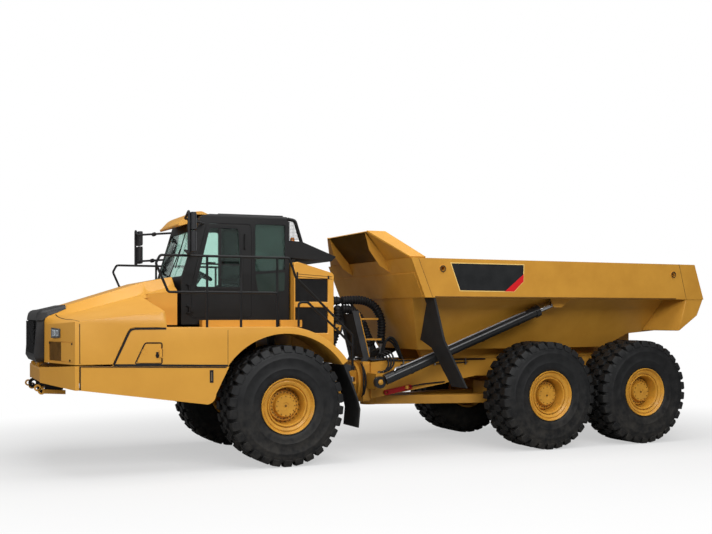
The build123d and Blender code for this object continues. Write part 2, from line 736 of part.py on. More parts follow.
seat_x = 330
seat_floor_z = cab_floor_z + cab_wall
with BuildPart() as seat_base:
    with BuildSketch(level(seat_floor_z + seat_gap)):
        with Locations((seat_x, 0)):
            RectangleRounded(440, 400, 50)
    extrude(amount=330, taper=6)
save(seat_base.part, "seat_base")

with BuildPart() as seat_cushion:
    with BuildSketch(side(260)):
        with BuildLine():
            Polyline((seat_x - 230, seat_floor_z + 331), (seat_x + 260, seat_floor_z + 331),
                     (seat_x + 290, seat_floor_z + 400))
            ThreePointArc((seat_x + 290, seat_floor_z + 400), (seat_x + 260, seat_floor_z + 460),
                          (seat_x + 200, seat_floor_z + 470))
            Line((seat_x + 200, seat_floor_z + 470), (seat_x - 170, seat_floor_z + 450))
            Polyline((seat_x - 170, seat_floor_z + 450), (seat_x - 280, seat_floor_z + 1060),
                     (seat_x - 390, seat_floor_z + 1050), (seat_x - 280, seat_floor_z + 400),
                     (seat_x - 230, seat_floor_z + 331))
        make_face()
    extrude(amount=520)
save(seat_cushion.part, "seat_cushion")

with BuildPart() as steering_column:
    column_top = Plane(origin=(870, 0, seat_floor_z + 640), z_dir=(-0.45, 0, 0.9))
    with BuildSketch(column_top):
        Circle(205)
        Circle(180, mode=Mode.SUBTRACT)
    extrude(amount=26)
    with BuildSketch(column_top):
        Circle(60)
        with PolarLocations(115, 3, start_angle=30):
            Rectangle(140, 30)
    extrude(amount=20)
    # dash and column shroud under the wheel
    with BuildSketch(side(-150)):
        Polygon((1000, seat_floor_z + seat_gap), (1290, seat_floor_z + seat_gap), (1290, seat_floor_z + 430),
                (1050, seat_floor_z + 560), (900, seat_floor_z + 662), (845, seat_floor_z + 634),
                (960, seat_floor_z + 480), align=None)
    extrude(amount=-300)
save(steering_column.part, "steering_column")

# ---------------------------------------------------------------- rails, mirrors and module
rail_top_z = 3076
rail_mid_z = 2560
with BuildPart() as handrails:
    add(tube_along([(-1060, rail_y, outrigger[3] + seat_gap), (-1060, rail_y, 1930), (-144, rail_y, 2790),
                    (-40, rail_y, rail_top_z), (1876, rail_y, rail_top_z), (1938, rail_y, 2960),
                    (1763, rail_y, rail_mid_z), (149, rail_y, rail_mid_z)], rail_radius, 50))
    add(tube_along([(-187, rail_y, deck_z + seat_gap), (-187, rail_y, 2425), (-330, rail_y, 2425),
                    (-800, rail_y, 2020), (-1060, rail_y, 1760)], rail_radius, 55))
    for post_x in (1204, 701, 149):
        with BuildSketch(level(deck_z + seat_gap)):
            with Locations((post_x, rail_y)):
                Circle(rail_radius)
        extrude(amount=rail_top_z - deck_z - seat_gap)
    mirror(about=Plane.XZ)
save(handrails.part, "handrails")

mirror_at = (1463, 1763)
with BuildPart() as mirrors:
    with BuildSketch(level(3120)):
        with Locations(mirror_at):
            RectangleRounded(70, 260, 25)
    extrude(amount=290)
    with BuildSketch(level(3430)):
        with Locations(mirror_at):
            RectangleRounded(70, 260, 25)
    extrude(amount=240)
    # tubular frame from the cab's front corner
    frame_x = mirror_at[0] + 55
    add(tube_along([(1075, cab_half + seat_gap, 3600), (1075, cab_half + 100, 3600),
                    (frame_x, mirror_at[1] - 160, 3600), (frame_x, mirror_at[1] + 60, 3700),
                    (frame_x, mirror_at[1] + 60, 3080),
                    (frame_x, mirror_at[1] - 160, 3150), (1225, cab_half + 100, 3150),
                    (1225, cab_half + seat_gap, 3150)], 17, 30))
    with Locations((mirror_at[0] + 45, mirror_at[1] + 60, 3260), (mirror_at[0] + 45, mirror_at[1] + 60, 3550)):
        Box(50, 30, 30)
    mirror(about=Plane.XZ)
save(mirrors.part, "mirrors")

module_x = (-1014, -348)
with BuildPart() as radiator_module:
    with BuildSketch(side(module_half)):
        Polygon((module_x[1], 1500), (module_x[1], 3040), (module_x[1] - 60, 3060), (module_x[0] + 40, 2900),
                (module_x[0], 2870), (module_x[0], 1500), align=None)
    extrude(amount=2 * module_half)
    # mesh bays in both sides and the rear
    for bay_z in ((2440, 2800), (1953, 2357)):
        with BuildSketch(side(module_half)):
            with Locations(((-370 - 915) / 2, (bay_z[0] + bay_z[1]) / 2)):
                Rectangle(545, bay_z[1] - bay_z[0])
        extrude(amount=30, mode=Mode.SUBTRACT)
        with BuildSketch(side(-module_half)):
            with Locations(((-370 - 915) / 2, (bay_z[0] + bay_z[1]) / 2)):
                Rectangle(545, bay_z[1] - bay_z[0])
        extrude(amount=-30, mode=Mode.SUBTRACT)
    # the fenders' rear tips run past both sides
    with BuildSketch(side(module_half)):
        Polygon((module_x[1] + 10, 2100), (module_x[1] + 10, 1400), (module_x[0] - 10, 1400),
                (module_x[0] - 10, 1600), align=None)
    extrude(amount=module_half - fender_inner_y + gap, mode=Mode.SUBTRACT)
    with BuildSketch(side(-fender_inner_y + gap)):
        Polygon((module_x[1] + 10, 2100), (module_x[1] + 10, 1400), (module_x[0] - 10, 1400),
                (module_x[0] - 10, 1600), align=None)
    extrude(amount=module_half - fender_inner_y + gap, mode=Mode.SUBTRACT)
save(radiator_module.part, "radiator_module")

guard_half = 800
with BuildPart() as rear_guard:
    # sloping cover over the module
    with BuildSketch(side(guard_half)):
        Polygon((-335, 3130), (-335, 3400), (-560, 3385), (-1136, 3165), (-1060, 3088), (-470, 3122), align=None)
    extrude(amount=2 * guard_half)
    # hoops up to the roof
    for hoop_y in (guard_half - 40, -guard_half + 40):
        add(tube_along([(-330, hoop_y, 3735), (-450, hoop_y, 3715), (-560, hoop_y, 3372)], 28, 60))
    # feet on the module
    for foot_y in (guard_half - 30, -guard_half + 90):
        with BuildSketch(side(foot_y)):
            Polygon((-390, 3056), (-408, 3060 + seat_gap), (-450, 3048.5), (-450, 3130), (-390, 3130), align=None)
        extrude(amount=60)
save(rear_guard.part, "rear_guard")

# ---------------------------------------------------------------- steering hitch
head_flange_x = pivot_x - 290       # bearing face that meets the rear frame
head_radius = 340
steer_ear_gap = 6                   # the rods' eyes stand over their ears by this
eye_height = 70
with BuildPart() as hitch_head:
    with Locations((pivot_x, 0, hitch_z)):
        Cylinder(175, hitch_height)
    with BuildSketch(section(pivot_x - 120)):
        with Locations((0, hitch_z)):
            Rectangle(250, 330)
    with BuildSketch(section(head_flange_x + 50)):
        with Locations((0, hitch_z)):
            Rectangle(480, hitch_height - 8)
    loft(ruled=True)
    with BuildSketch(section(head_flange_x)):
        with Locations((0, hitch_z)):
            Circle(head_radius)
    extrude(amount=50)
    # ears of the steering cylinders
    ear_top = steer_z - eye_height / 2 - steer_ear_gap
    with BuildSketch(level(ear_top - 40)):
        with Locations((0, 0)):
            Polygon((head_flange_x + 50, 200), (pivot_x + 60, 150), (pivot_x + 60, 0), (head_flange_x + 50, 0),
                    align=None)
        for hand in (1, -1):
            Polygon((head_flange_x + 40, hand * 200), (steer_eye[0] - 60, hand * (steer_eye[1] + 40)),
                    (steer_eye[0] + 60, hand * (steer_eye[1] + 40)), (pivot_x + 40, hand * 150),
                    (head_flange_x + 40, 0), align=None)
    extrude(amount=40)
    with Locations((pivot_x, 0, hitch_z)):
        Cylinder(pivot_pin_radius + pin_play, hitch_height + 10, mode=Mode.SUBTRACT)
save(hitch_head.part, "hitch_head")


def cylinder_barrel(foot, eye, radius, rod_radius, closed, foot_piece):
    """Hydraulic barrel from its foot eye towards the rod's eye, bored for the rod."""
    axis = toward(foot, eye)
    with BuildPart() as barrel:
        with BuildSketch(axis.offset(radius * 1.1)):
            Circle(radius)
        extrude(amount=closed - radius * 1.1)
        with BuildSketch(axis.offset(closed - radius * 0.9)):
            Circle(radius * 1.16)
        extrude(amount=radius * 0.9)
        with BuildSketch(axis.offset(closed + 1)):
            Circle(rod_radius + rod_play)
        extrude(amount=-(closed - radius * 1.1 - 30), mode=Mode.SUBTRACT)
        add(foot_piece)
    return barrel.part


def cylinder_rod(foot, eye, rod_radius, rod_start, eye_piece):
    """Polished rod from rod_start, inside the barrel, to the rod's eye."""
    axis = toward(foot, eye)
    reach = distance(foot, eye)
    with BuildPart() as rod:
        with BuildSketch(axis.offset(rod_start)):
            Circle(rod_radius)
        extrude(amount=reach - rod_start)
        add(eye_piece)
    return rod.part


def upright_eye(centre, radius, height):
    """Eye whose pin stands upright."""
    with BuildPart() as eye:
        with BuildSketch(Plane(origin=(centre[0], centre[1], centre[2] - height / 2))):
            Circle(radius)
        extrude(amount=height)
    return eye.part


steer_eye_radius = 52
steer_pin_radius = 25
steer_closed = 830                  # barrel's end, from its foot
steer_rod_start = 415               # rod's end inside the barrel, from the foot
for hand, side_name in ((1, "left"), (-1, "right")):
    foot = (steer_foot[0], hand * steer_foot[1], steer_z)
    eye = (steer_eye[0], hand * steer_eye[1], steer_z)
    with BuildPart() as steering_barrel:
        add(cylinder_barrel(foot, eye, steer_barrel_radius, steer_rod_radius, steer_closed,
                            upright_eye(foot, steer_eye_radius + 12, eye_height)))
        with Locations(foot):
            Cylinder(steer_pin_radius + pin_play, 2 * eye_height, mode=Mode.SUBTRACT)
    save(steering_barrel.part, f"{side_name}_steering_barrel")
    with BuildPart() as steering_rod:
        add(cylinder_rod(foot, eye, steer_rod_radius, steer_rod_start,
                         upright_eye(eye, steer_eye_radius, eye_height)))
        # head of the pin in the rod's eye
        with Locations(eye):
            Cylinder(steer_pin_radius, eye_height + 4)
    save(steering_rod.part, f"{side_name}_steering_rod")

# ---------------------------------------------------------------- rear frame
foot_face_y = hoist_foot[1] - hoist_barrel_radius - 10
hoist_pin_radius = 35
hoist_ball_radius = 60
frame_web = 120                     # width of each rear frame beam
frame_front_x = head_flange_x - seat_gap
frame_tail_x = tip_x - 200
hinge_ear_half = (300, 420)         # inner and outer faces of the tipping hinge's ears
beam_y = (620, 780)                 # inner and outer faces of each walking beam
beam_x = (mid_axle_x + rear_axle_x) / 2
beam_pivot_z = 1110
beam_pivot_radius = 70
shaft_half = beam_y[1] + 20
tongue_z = (720, 870)
tongue_front_x = -2080
tongue_pin_radius = 60
with BuildPart() as rear_frame:
    with BuildSketch(section(frame_front_x - 130)):
        with Locations((0, (frame_top_z - 20 + 790) / 2)):
            RectangleRounded(2 * 410, frame_top_z - 20 - 790, 60)
    extrude(amount=130)
    with BuildSketch(side(frame_half)):
        Polygon((frame_front_x - 120, frame_top_z - 30), (frame_front_x - 120, 850), (-3300, 1060),
                (-3450, 1100), (mid_axle_x + 700, 1180), (frame_tail_x, 1180), (frame_tail_x, frame_top_z),
                (-2300, frame_top_z), align=None)
    extrude(amount=frame_web)
    mirror(about=Plane.XZ)
    for member_x in (-2600, -3650, (mid_axle_x + rear_axle_x) / 2, frame_tail_x + 60):
        with Locations((member_x, 0, 1330)):
            Box(110, 2 * (frame_half - frame_web) + 2, 220)
    # ears of the tipping hinge
    for inner_y in (hinge_ear_half[1], -hinge_ear_half[0]):
        with BuildSketch(side(inner_y)):
            with BuildLine():
                Line((tip_x - 200, frame_top_z - 100), (tip_x - 110, tip_z))
                ThreePointArc((tip_x - 110, tip_z), (tip_x, tip_z + 110), (tip_x + 110, tip_z))
                Line((tip_x + 110, tip_z), (tip_x + 260, frame_top_z - 100))
                Line((tip_x + 260, frame_top_z - 100), (tip_x - 200, frame_top_z - 100))
            make_face()
            with Locations((tip_x, tip_z)):
                Circle(tip_pin_radius + pin_play, mode=Mode.SUBTRACT)
        extrude(amount=hinge_ear_half[1] - hinge_ear_half[0])
    # outriggers with the ball pins of the hoist cylinders
    for hand in (1, -1):
        with BuildSketch(section(hoist_foot[0] - 160)):
            with Locations((hand * (frame_half - 1 + foot_face_y) / 2, hoist_foot[2])):
                Rectangle(foot_face_y - frame_half + 1, 260)
        extrude(amount=180)
        with BuildSketch(side(hand * (foot_face_y - 1))):
            with Locations((hoist_foot[0], hoist_foot[2])):
                Circle(hoist_pin_radius)
        extrude(amount=-hand * (hoist_foot[1] - foot_face_y))
        with Locations((hoist_foot[0], hand * hoist_foot[1], hoist_foot[2])):
            Sphere(hoist_ball_radius)
    # shaft of the walking beams, in brackets under both beams of the frame
    with BuildSketch(side(shaft_half)):
        with Locations((beam_x, beam_pivot_z)):
            Circle(beam_pivot_radius)
    extrude(amount=2 * shaft_half)
    for outer_y in (frame_half, -frame_half + frame_web):
        with BuildSketch(side(outer_y)):
            Polygon((beam_x - 240, 1200), (beam_x - 110, 1030), (beam_x + 110, 1030), (beam_x + 240, 1200),
                    align=None)
        extrude(amount=frame_web)
    # ball pin of the mid axle's tongue
    with Locations((tongue_front_x, 0, tongue_z[1] + seat_gap + 65)):
        Box(240, 2 * (frame_half - frame_web) + 2, 130)
    with Locations((tongue_front_x, 0, (tongue_z[0] + tongue_z[1]) / 2 + 10)):
        Cylinder(tongue_pin_radius, tongue_z[1] - tongue_z[0] + 20)
save(rear_frame.part, "rear_frame")

guide_foot_z = frame_top_z - 20 + seat_gap
guide_half = 300
stringer = 20
shelf_z = (frame_top_z + seat_gap, frame_top_z + 15)    # under the hoses' rear ends
with BuildPart() as hose_guide:
    # leaning stringers on the frame's head, with straps that reach back past the hoses
    with BuildSketch(side(guide_half)):
        Polygon((-1800, guide_foot_z), (-1918, guide_foot_z), (-1960, 1520), (-1760, 2305), (-1640, 2305),
                (-1840, 1520), align=None)
        for strap_x, strap_z in (((-1760, -2115), 2169), ((-1850, -2175), 1826)):
            with Locations(((strap_x[0] + strap_x[1]) / 2, strap_z)):
                Rectangle(strap_x[0] - strap_x[1], 36)
    extrude(amount=stringer)
    mirror(about=Plane.XZ)
    # plate and rungs between the stringers
    with BuildSketch(side(guide_half - stringer + 1)):
        Polygon((-1893, 1520), (-1907, 1520), (-1721, 2255), (-1707, 2255), align=None)
        with Locations((-2100, 2169), (-2160, 1826)):
            Circle(13)
    extrude(amount=2 * (guide_half - stringer + 1))
    with Locations((-2172, 0, (shelf_z[0] + shelf_z[1]) / 2)):
        Box(496, 2 * (frame_half - 10), shelf_z[1] - shelf_z[0])
save(hose_guide.part, "hose_guide")

hose_radius = 65
hose_z = (2475, 2335)               # where the two hoses cross the steering axis
rear_hose_x = pivot_x - hose_radius - gap - 1
hose_end_z = shelf_z[1] + seat_gap
with BuildPart() as rear_hoses:
    # from the steering axis over the guide and down to its shelf
    add(tube_along([(rear_hose_x, 0, hose_z[0]), (-1950, 0, hose_z[0] - 5), (-2156, 0, 2405), (-2287, 0, 2254),
                    (-2340, 0, 2068), (-2315, 0, 1832), (-2315, 0, hose_end_z)], hose_radius, 90))
    add(tube_along([(rear_hose_x, 0, hose_z[1]), (-1750, 0, hose_z[1]), (-1930, 0, 2180), (-2030, 0, 1950),
                    (-2070, 0, 1750), (-2070, 0, hose_end_z)], hose_radius, 90))
save(rear_hoses.part, "rear_hoses")

with BuildPart() as front_hoses:
    # from the radiator module and from the clevis to round ends on the steering axis
    add(tube_along([(module_x[0] - seat_gap, 0, 2430), (-1150, 0, 2430), (-1330, 0, hose_z[0]),
                    (pivot_x, 0, hose_z[0])], hose_radius, 90))
    add(tube_along([(-1300, 0, hitch_z + clevis_z + clevis_plate + seat_gap), (-1300, 0, 1520), (-1440, 0, 1840),
                    (pivot_x, 0, 2080), (pivot_x, 0, hose_z[1])], hose_radius, 90))
    with Locations((pivot_x, 0, hose_z[0]), (pivot_x, 0, hose_z[1])):
        Sphere(hose_radius)
save(front_hoses.part, "front_hoses")

pad_z = axle_z + axle_tube + seat_gap
with BuildPart() as walking_beams:
    with BuildSketch(side(beam_y[1])):
        with BuildLine():
            Polyline((mid_axle_x + 110, pad_z), (mid_axle_x - 110, pad_z), (beam_x + 330, 990))
            ThreePointArc((beam_x + 330, 990), (beam_x, 930), (beam_x - 330, 990))
            Polyline((beam_x - 330, 990), (rear_axle_x + 110, pad_z), (rear_axle_x - 110, pad_z),
                     (rear_axle_x - 110, pad_z + 75), (beam_x - 300, 1235), (beam_x + 300, 1235),
                     (mid_axle_x + 110, pad_z + 75), (mid_axle_x + 110, pad_z))
        make_face()
        with Locations((beam_x, beam_pivot_z)):
            Circle(beam_pivot_radius + pin_play, mode=Mode.SUBTRACT)
    extrude(amount=beam_y[1] - beam_y[0])
    mirror(about=Plane.XZ)
save(walking_beams.part, "walking_beams")

tongue_back_x = mid_axle_x + sqrt(axle_tube ** 2 - (axle_z - tongue_z[1]) ** 2) + seat_gap
with BuildPart() as axle_tongue:
    # V-shaped tongue from a ball under the frame's head to the ends of the mid axle
    with BuildSketch(level(tongue_z[0])):
        for hand in (1, -1):
            Polygon((tongue_front_x + 60, hand * -20), (tongue_front_x + 60, hand * 90), (tongue_back_x, hand * 790),
                    (tongue_back_x, hand * 560), (tongue_front_x - 380, hand * -20), align=None)
        with Locations((tongue_front_x, 0)):
            Circle(150)
    extrude(amount=tongue_z[1] - tongue_z[0])
    with Locations((tongue_front_x, 0, (tongue_z[0] + tongue_z[1]) / 2)):
        Cylinder(tongue_pin_radius + pin_play, 300, mode=Mode.SUBTRACT)
save(axle_tongue.part, "axle_tongue")

with BuildPart() as lock_link:
    with BuildSketch(side(frame_half + seat_gap + 45)):
        with BuildLine():
            Line((-2190, 900), (-2620, 985))
            ThreePointArc((-2620, 985), (-2665, 1035), (-2620, 1060))
            Line((-2620, 1060), (-2190, 985))
            ThreePointArc((-2190, 985), (-2140, 940), (-2190, 900))
        make_face()
        with Locations((-2190, 942), (-2615, 1023)):
            Circle(20, mode=Mode.SUBTRACT)
    extrude(amount=45)
save(lock_link.part, "lock_link")

# ---------------------------------------------------------------- dump body
body_back_x = -7726
body_front_x = (-2030, -2620)       # front wall at the rail's top and at the floor
tail_floor = ((-6450, body_floor_z), (-6850, 1900), (-7450, 1950), (tail_x, 2450))


def front_wall_x(z):
    """Outside of the body's leaning front wall at height z."""
    run = (body_front_x[0] - body_front_x[1]) / (body_rail_top - body_floor_z)
    return body_front_x[0] - (body_rail_top - z) * run


def trough(outline, profile):
    """Solid whose cross section is outline and whose side view is profile."""
    with BuildPart() as solid:
        with BuildSketch(section(tail_x - 200)):
            Polygon(*outline, *[(-y, z) for y, z in reversed(outline)], align=None)
        extrude(amount=7000)
        with BuildSketch(side(half_width + 10)):
            Polygon(*profile, align=None)
        extrude(amount=2 * half_width + 20, mode=Mode.INTERSECT)
    return solid.part


hull_outline = ((body_floor_half, body_floor_z), (body_hull_half, body_rail_bottom),
                (half_width, body_rail_bottom), (half_width, body_rail_top))
hold_outline = ((body_floor_half - 20, body_floor_z + body_sheet), (1560, body_rail_top), (1600, body_rail_top + 60))
hull_profile = ((body_front_x[0], body_rail_top), (body_front_x[1], body_floor_z), *tail_floor,
                (tail_x, body_rail_bottom), (body_back_x, body_rail_top))
hold_profile = ((body_front_x[0] - 35, body_rail_top + 70), (body_front_x[0] - 35, body_rail_top),
                (body_front_x[1] - 35, body_floor_z + body_sheet), (-6440, body_floor_z + body_sheet),
                (-6840, 1930), (-7440, 1982), (-8060, 2625), (-8060, body_rail_top + 70))
runner_top_z = body_floor_z + 5
lift_sockets = ((-2598, 2966), (-7236, 2946))
socket_radius = 35
socket_depth = 80
lug_y = (hinge_ear_half[1] + gap, hinge_ear_half[1] + gap + 80)

with BuildPart() as dump_body:
    add(trough(hull_outline, hull_profile))
    add(trough(hold_outline, hold_profile), mode=Mode.SUBTRACT)
    # runners that rest on the rear frame
    for inner_y in (frame_half, -frame_half + frame_web):
        with BuildSketch(side(inner_y)):
            Polygon((-2900, frame_top_z + body_gap), (-2800, runner_top_z), (-6440, runner_top_z),
                    (-6440, frame_top_z + body_gap), align=None)
        extrude(amount=frame_web)
    # hinge lugs and the pin that turns in the frame's ears
    for outer_y in (lug_y[1], -lug_y[0]):
        with BuildSketch(side(outer_y)):
            with BuildLine():
                Line((tip_x - 105, 1940), (tip_x - 105, tip_z))
                ThreePointArc((tip_x - 105, tip_z), (tip_x, tip_z - 105), (tip_x + 105, tip_z))
                Line((tip_x + 105, tip_z), (tip_x + 220, 1925))
                Line((tip_x + 220, 1925), (tip_x - 105, 1940))
            make_face()
        extrude(amount=lug_y[1] - lug_y[0])
    for outer_y in (lug_y[1] - 10, -hinge_ear_half[0] + 10):
        with BuildSketch(side(outer_y)):
            with Locations((tip_x, tip_z)):
                Circle(tip_pin_radius)
        extrude(amount=lug_y[1] - hinge_ear_half[0])
    for hand in (1, -1):
        # raking posts at the front ends of the side rails
        with BuildSketch(side(hand * (half_width - 20))):
            Polygon(*[(front_wall_x(z) - back, z) for back, z in ((0, body_rail_top), (140, body_rail_top),
                                                                  (131, body_rail_bottom), (0, body_rail_bottom))],
                    align=None)
        extrude(amount=-hand * 40)
        # collared sockets of the lifting tackle
        for socket in lift_sockets:
            with BuildSketch(side(hand * (half_width - 1))):
                with Locations(socket):
                    Circle(55)
            extrude(amount=-hand * 13)
            with BuildSketch(side(hand * (half_width - socket_depth))):
                with Locations(socket):
                    Circle(socket_radius)
            extrude(amount=-hand * (socket_depth + 20), mode=Mode.SUBTRACT)
        # brackets on both sides of the hoist rod's eye
        for bracket_y, bracket_top_z in ((1385, body_rail_bottom + 2), (1205, body_rail_bottom - 20)):
            with BuildSketch(side(hand * bracket_y)):
                Polygon((-4820, bracket_top_z), (-5235, bracket_top_z), (-5040, 2363), (-4886, 2363), align=None)
            extrude(amount=-hand * 25)
save(dump_body.part, "dump_body")

board_sheet = 25
board_foot = (body_front_x[0] - 15, 1610)     # x and half width at the foot and at the top
board_top = (-1657, 825)
board_top_z = 3579
board_foot_z = body_rail_top + seat_gap
with BuildPart() as headboard:
    board_run = Vector(board_top[0] - board_foot[0], 0, board_top_z - board_foot_z)
    board = Plane(origin=(board_foot[0], 0, board_foot_z), x_dir=(0, 1, 0), z_dir=(board_run.Z, 0, -board_run.X))
    with BuildSketch(board):
        Polygon((-board_foot[1], 0), (board_foot[1], 0), (board_top[1], board_run.length),
                (-board_top[1], board_run.length), align=None)
    extrude(amount=-board_sheet)
    # wings that run back from the board's slanting edges
    wing_up = Vector(0, board_top[1] - board_foot[1], board_run.Z)
    wing = Plane(origin=(board_foot[0], board_foot[1], board_foot_z), x_dir=(-1, 0, 0),
                 z_dir=(0, board_run.Z, board_foot[1] - board_top[1]))
    with BuildSketch(wing):
        Polygon((0, 0), (270, 0), (330 - board_run.X, wing_up.length), (-board_run.X, wing_up.length), align=None)
    extrude(amount=board_sheet)
    # ribs down to the body's front wall
    with BuildSketch(side(760)):
        Polygon((body_front_x[0] + seat_gap, body_rail_top), (body_front_x[0] + seat_gap, board_foot_z + 3),
                (board_foot[0] - 2, board_foot_z + 3), (board_top[0] - 4, board_top_z), (-1740, 3290), (-1925, 3040),
                (front_wall_x(2930) + seat_gap, 2930), align=None)
    extrude(amount=20)
    mirror(about=Plane.XZ)
save(headboard.part, "headboard")

with BuildPart() as body_flaps:
    # leaning sheets under the front of the body, cut to clear its hull
    with BuildSketch(side(half_width - 5)):
        Polygon((-2440, body_rail_bottom - seat_gap), (-2475, body_rail_bottom - seat_gap), (-2650, 1830),
                (-3060, 1065), (-3025, 1065), (-2612, 1830), align=None)
    extrude(amount=half_width - 5 - body_floor_half)
    with BuildSketch(section(-3100)):
        Polygon((half_width, body_rail_bottom), (1330, body_rail_bottom), (1360, 2417), (870, 1830), (1130, 1700),
                (1175, 1060), (half_width, 1060), align=None)
    extrude(amount=800, mode=Mode.INTERSECT)
    mirror(about=Plane.XZ)
save(body_flaps.part, "body_flaps")

# ---------------------------------------------------------------- hoist cylinders
hoist_eye_radius = 72
hoist_closed = 3060
hoist_rod_start = 160


def level_eye(centre, radius, width):
    """Eye whose pin lies across the truck."""
    with BuildPart() as ring:
        with BuildSketch(side(centre[1] + width / 2)):
            with Locations((centre[0], centre[2])):
                Circle(radius)
        extrude(amount=width)
    return ring.part


for hand, side_name in ((1, "left"), (-1, "right")):
    foot = (hoist_foot[0], hand * hoist_foot[1], hoist_foot[2])
    eye = (hoist_eye[0], hand * hoist_eye[1], hoist_eye[2])
    with BuildPart() as hoist_barrel:
        add(cylinder_barrel(foot, eye, hoist_barrel_radius, hoist_rod_radius, hoist_closed,
                            level_eye(foot, hoist_eye_radius + 25, 80)))
        with Locations(foot):
            Sphere(hoist_ball_radius + pin_play, mode=Mode.SUBTRACT)
    save(hoist_barrel.part, f"{side_name}_hoist_barrel")
    with BuildPart() as hoist_rod:
        add(cylinder_rod(foot, eye, hoist_rod_radius, hoist_rod_start,
                         level_eye(eye, hoist_eye_radius, 2 * hoist_rod_radius)))
    save(hoist_rod.part, f"{side_name}_hoist_rod")

# ---------------------------------------------------------------- wheels
bead_y = 330
barrel_radius = 395                 # rim's bead seat
seat_radius = barrel_radius + seat_gap
with BuildPart() as tyre:
    with BuildSketch(Plane.XY):
        with BuildLine():
            Polyline((seat_radius, bead_y - 30), (seat_radius, bead_y), (rim_radius + seat_gap, bead_y),
                     (rim_radius + seat_gap, bead_y + 22), (450, bead_y + 29))
            ThreePointArc((450, bead_y + 29), (640, tyre_width / 2), (815, 336))
            ThreePointArc((815, 336), (855, 328), (872, 300))
            ThreePointArc((872, 300), (tyre_radius, 0), (872, -300))
            ThreePointArc((872, -300), (855, -328), (815, -336))
            ThreePointArc((815, -336), (640, -tyre_width / 2), (450, -bead_y - 29))
            Polyline((450, -bead_y - 29), (rim_radius + seat_gap, -bead_y - 22), (rim_radius + seat_gap, -bead_y),
                     (seat_radius, -bead_y), (seat_radius, -bead_y + 30))
            ThreePointArc((seat_radius, -bead_y + 30), (640, -340), (790, -285))
            Line((790, -285), (790, 285))
            ThreePointArc((790, 285), (640, 340), (seat_radius, bead_y - 30))
        make_face()
    revolve(axis=Axis.Y)

hub_inner = hub_face_y - wheel_y
with BuildPart() as rim:
    with BuildSketch(Plane.XY):
        Polygon((spindle_radius + pin_play, hub_inner), (205, hub_inner), (205, 70), (300, 70), (320, 270),
                (370, 290), (370, -300), (380, -356), (rim_radius, -356), (rim_radius, -bead_y - 1),
                (barrel_radius, -bead_y - 1), (barrel_radius, bead_y + 1), (rim_radius, bead_y + 1),
                (rim_radius, 356), (385, 352),
                (318, 318), (312, 300), (290, 300), (275, 285), (270, 110), (262, 100), (232, 100),
                (228, 104), (220, 262), (200, 282), (150, 282), (140, 306), (0, 310), (0, spindle_reach + 5),
                (spindle_radius + pin_play, spindle_reach + 5), align=None)
    revolve(axis=Axis.Y)

for axle_name, axle_x in (("front", 0), ("mid", mid_axle_x), ("rear", rear_axle_x)):
    left_hub = Location((axle_x, wheel_y, axle_z))
    right_hub = Location((axle_x, -wheel_y, axle_z))
    for piece, piece_name in ((tyre.part, "tyre"), (rim.part, "rim")):
        save(piece.moved(left_hub), f"{axle_name}_left_{piece_name}")
        save(mirror(piece, about=Plane.XZ).moved(right_hub), f"{axle_name}_right_{piece_name}")
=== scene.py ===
"""Large articulated dump truck: materials, tyre treads, trim, hoses and lamps round the CAD frame."""
from math import cos, pi, radians, sin

import bmesh
import bpy
from mathutils import Matrix, Vector
from mathutils.bvhtree import BVHTree


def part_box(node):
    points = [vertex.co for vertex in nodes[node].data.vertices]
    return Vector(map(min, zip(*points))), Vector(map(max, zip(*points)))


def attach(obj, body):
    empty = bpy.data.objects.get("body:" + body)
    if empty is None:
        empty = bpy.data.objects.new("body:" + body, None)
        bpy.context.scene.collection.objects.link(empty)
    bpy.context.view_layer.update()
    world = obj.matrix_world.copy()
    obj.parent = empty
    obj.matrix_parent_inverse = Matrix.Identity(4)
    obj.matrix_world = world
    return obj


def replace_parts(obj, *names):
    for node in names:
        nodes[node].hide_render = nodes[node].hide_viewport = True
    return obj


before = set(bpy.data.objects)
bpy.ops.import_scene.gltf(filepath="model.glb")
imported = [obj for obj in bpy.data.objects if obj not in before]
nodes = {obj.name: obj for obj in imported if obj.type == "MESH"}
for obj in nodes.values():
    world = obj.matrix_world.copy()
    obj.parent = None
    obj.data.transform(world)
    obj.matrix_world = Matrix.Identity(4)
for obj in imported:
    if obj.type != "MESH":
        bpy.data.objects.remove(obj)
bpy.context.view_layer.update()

# ---------------------------------------------------------------- studio
# Pale floor under an even white sky, lit by lamps overhead, at the truck's left and in front;
# the camera is level, at a standing person's reach, and looks at the truck's left front.
studio = bpy.context.scene
camera_data = bpy.data.cameras.new("camera")
camera_data.lens = 50.22
camera_data.sensor_width = 36
camera_data.shift_y = 0.0667
camera_data.clip_end = 300
camera = bpy.data.objects.new("camera", camera_data)
camera.location = (7.2786, 15.3931, 2.2435)
camera.rotation_euler = (pi / 2, 0, pi - radians(24.08))
studio.collection.objects.link(camera)
studio.camera = camera
studio.view_settings.view_transform = "Standard"


def area_lamp(name, place, aim, size, energy):
    """Rectangular lamp at place, turned towards aim."""
    lamp_data = bpy.data.lights.new(name, "AREA")
    lamp_data.shape = "RECTANGLE"
    lamp_data.size, lamp_data.size_y = size
    lamp_data.energy = energy
    lamp = bpy.data.objects.new(name, lamp_data)
    lamp.location = place
    lamp.rotation_euler = (Vector(aim) - Vector(place)).to_track_quat("-Z", "Y").to_euler()
    studio.collection.objects.link(lamp)


area_lamp("overhead_lamp", (0, 2, 12), (0, 0, 0), (16, 10), 1500)
area_lamp("side_lamp", (1.5, 14, 9), (0, 0, 1.5), (12, 5), 1420)
area_lamp("front_lamp", (15, 5, 6), (1, 0, 1.5), (8, 5), 560)


def set_inputs(node, values):
    """Values of a node's inputs, by name or number."""
    for socket, value in values.items():
        node.inputs[socket].default_value = value


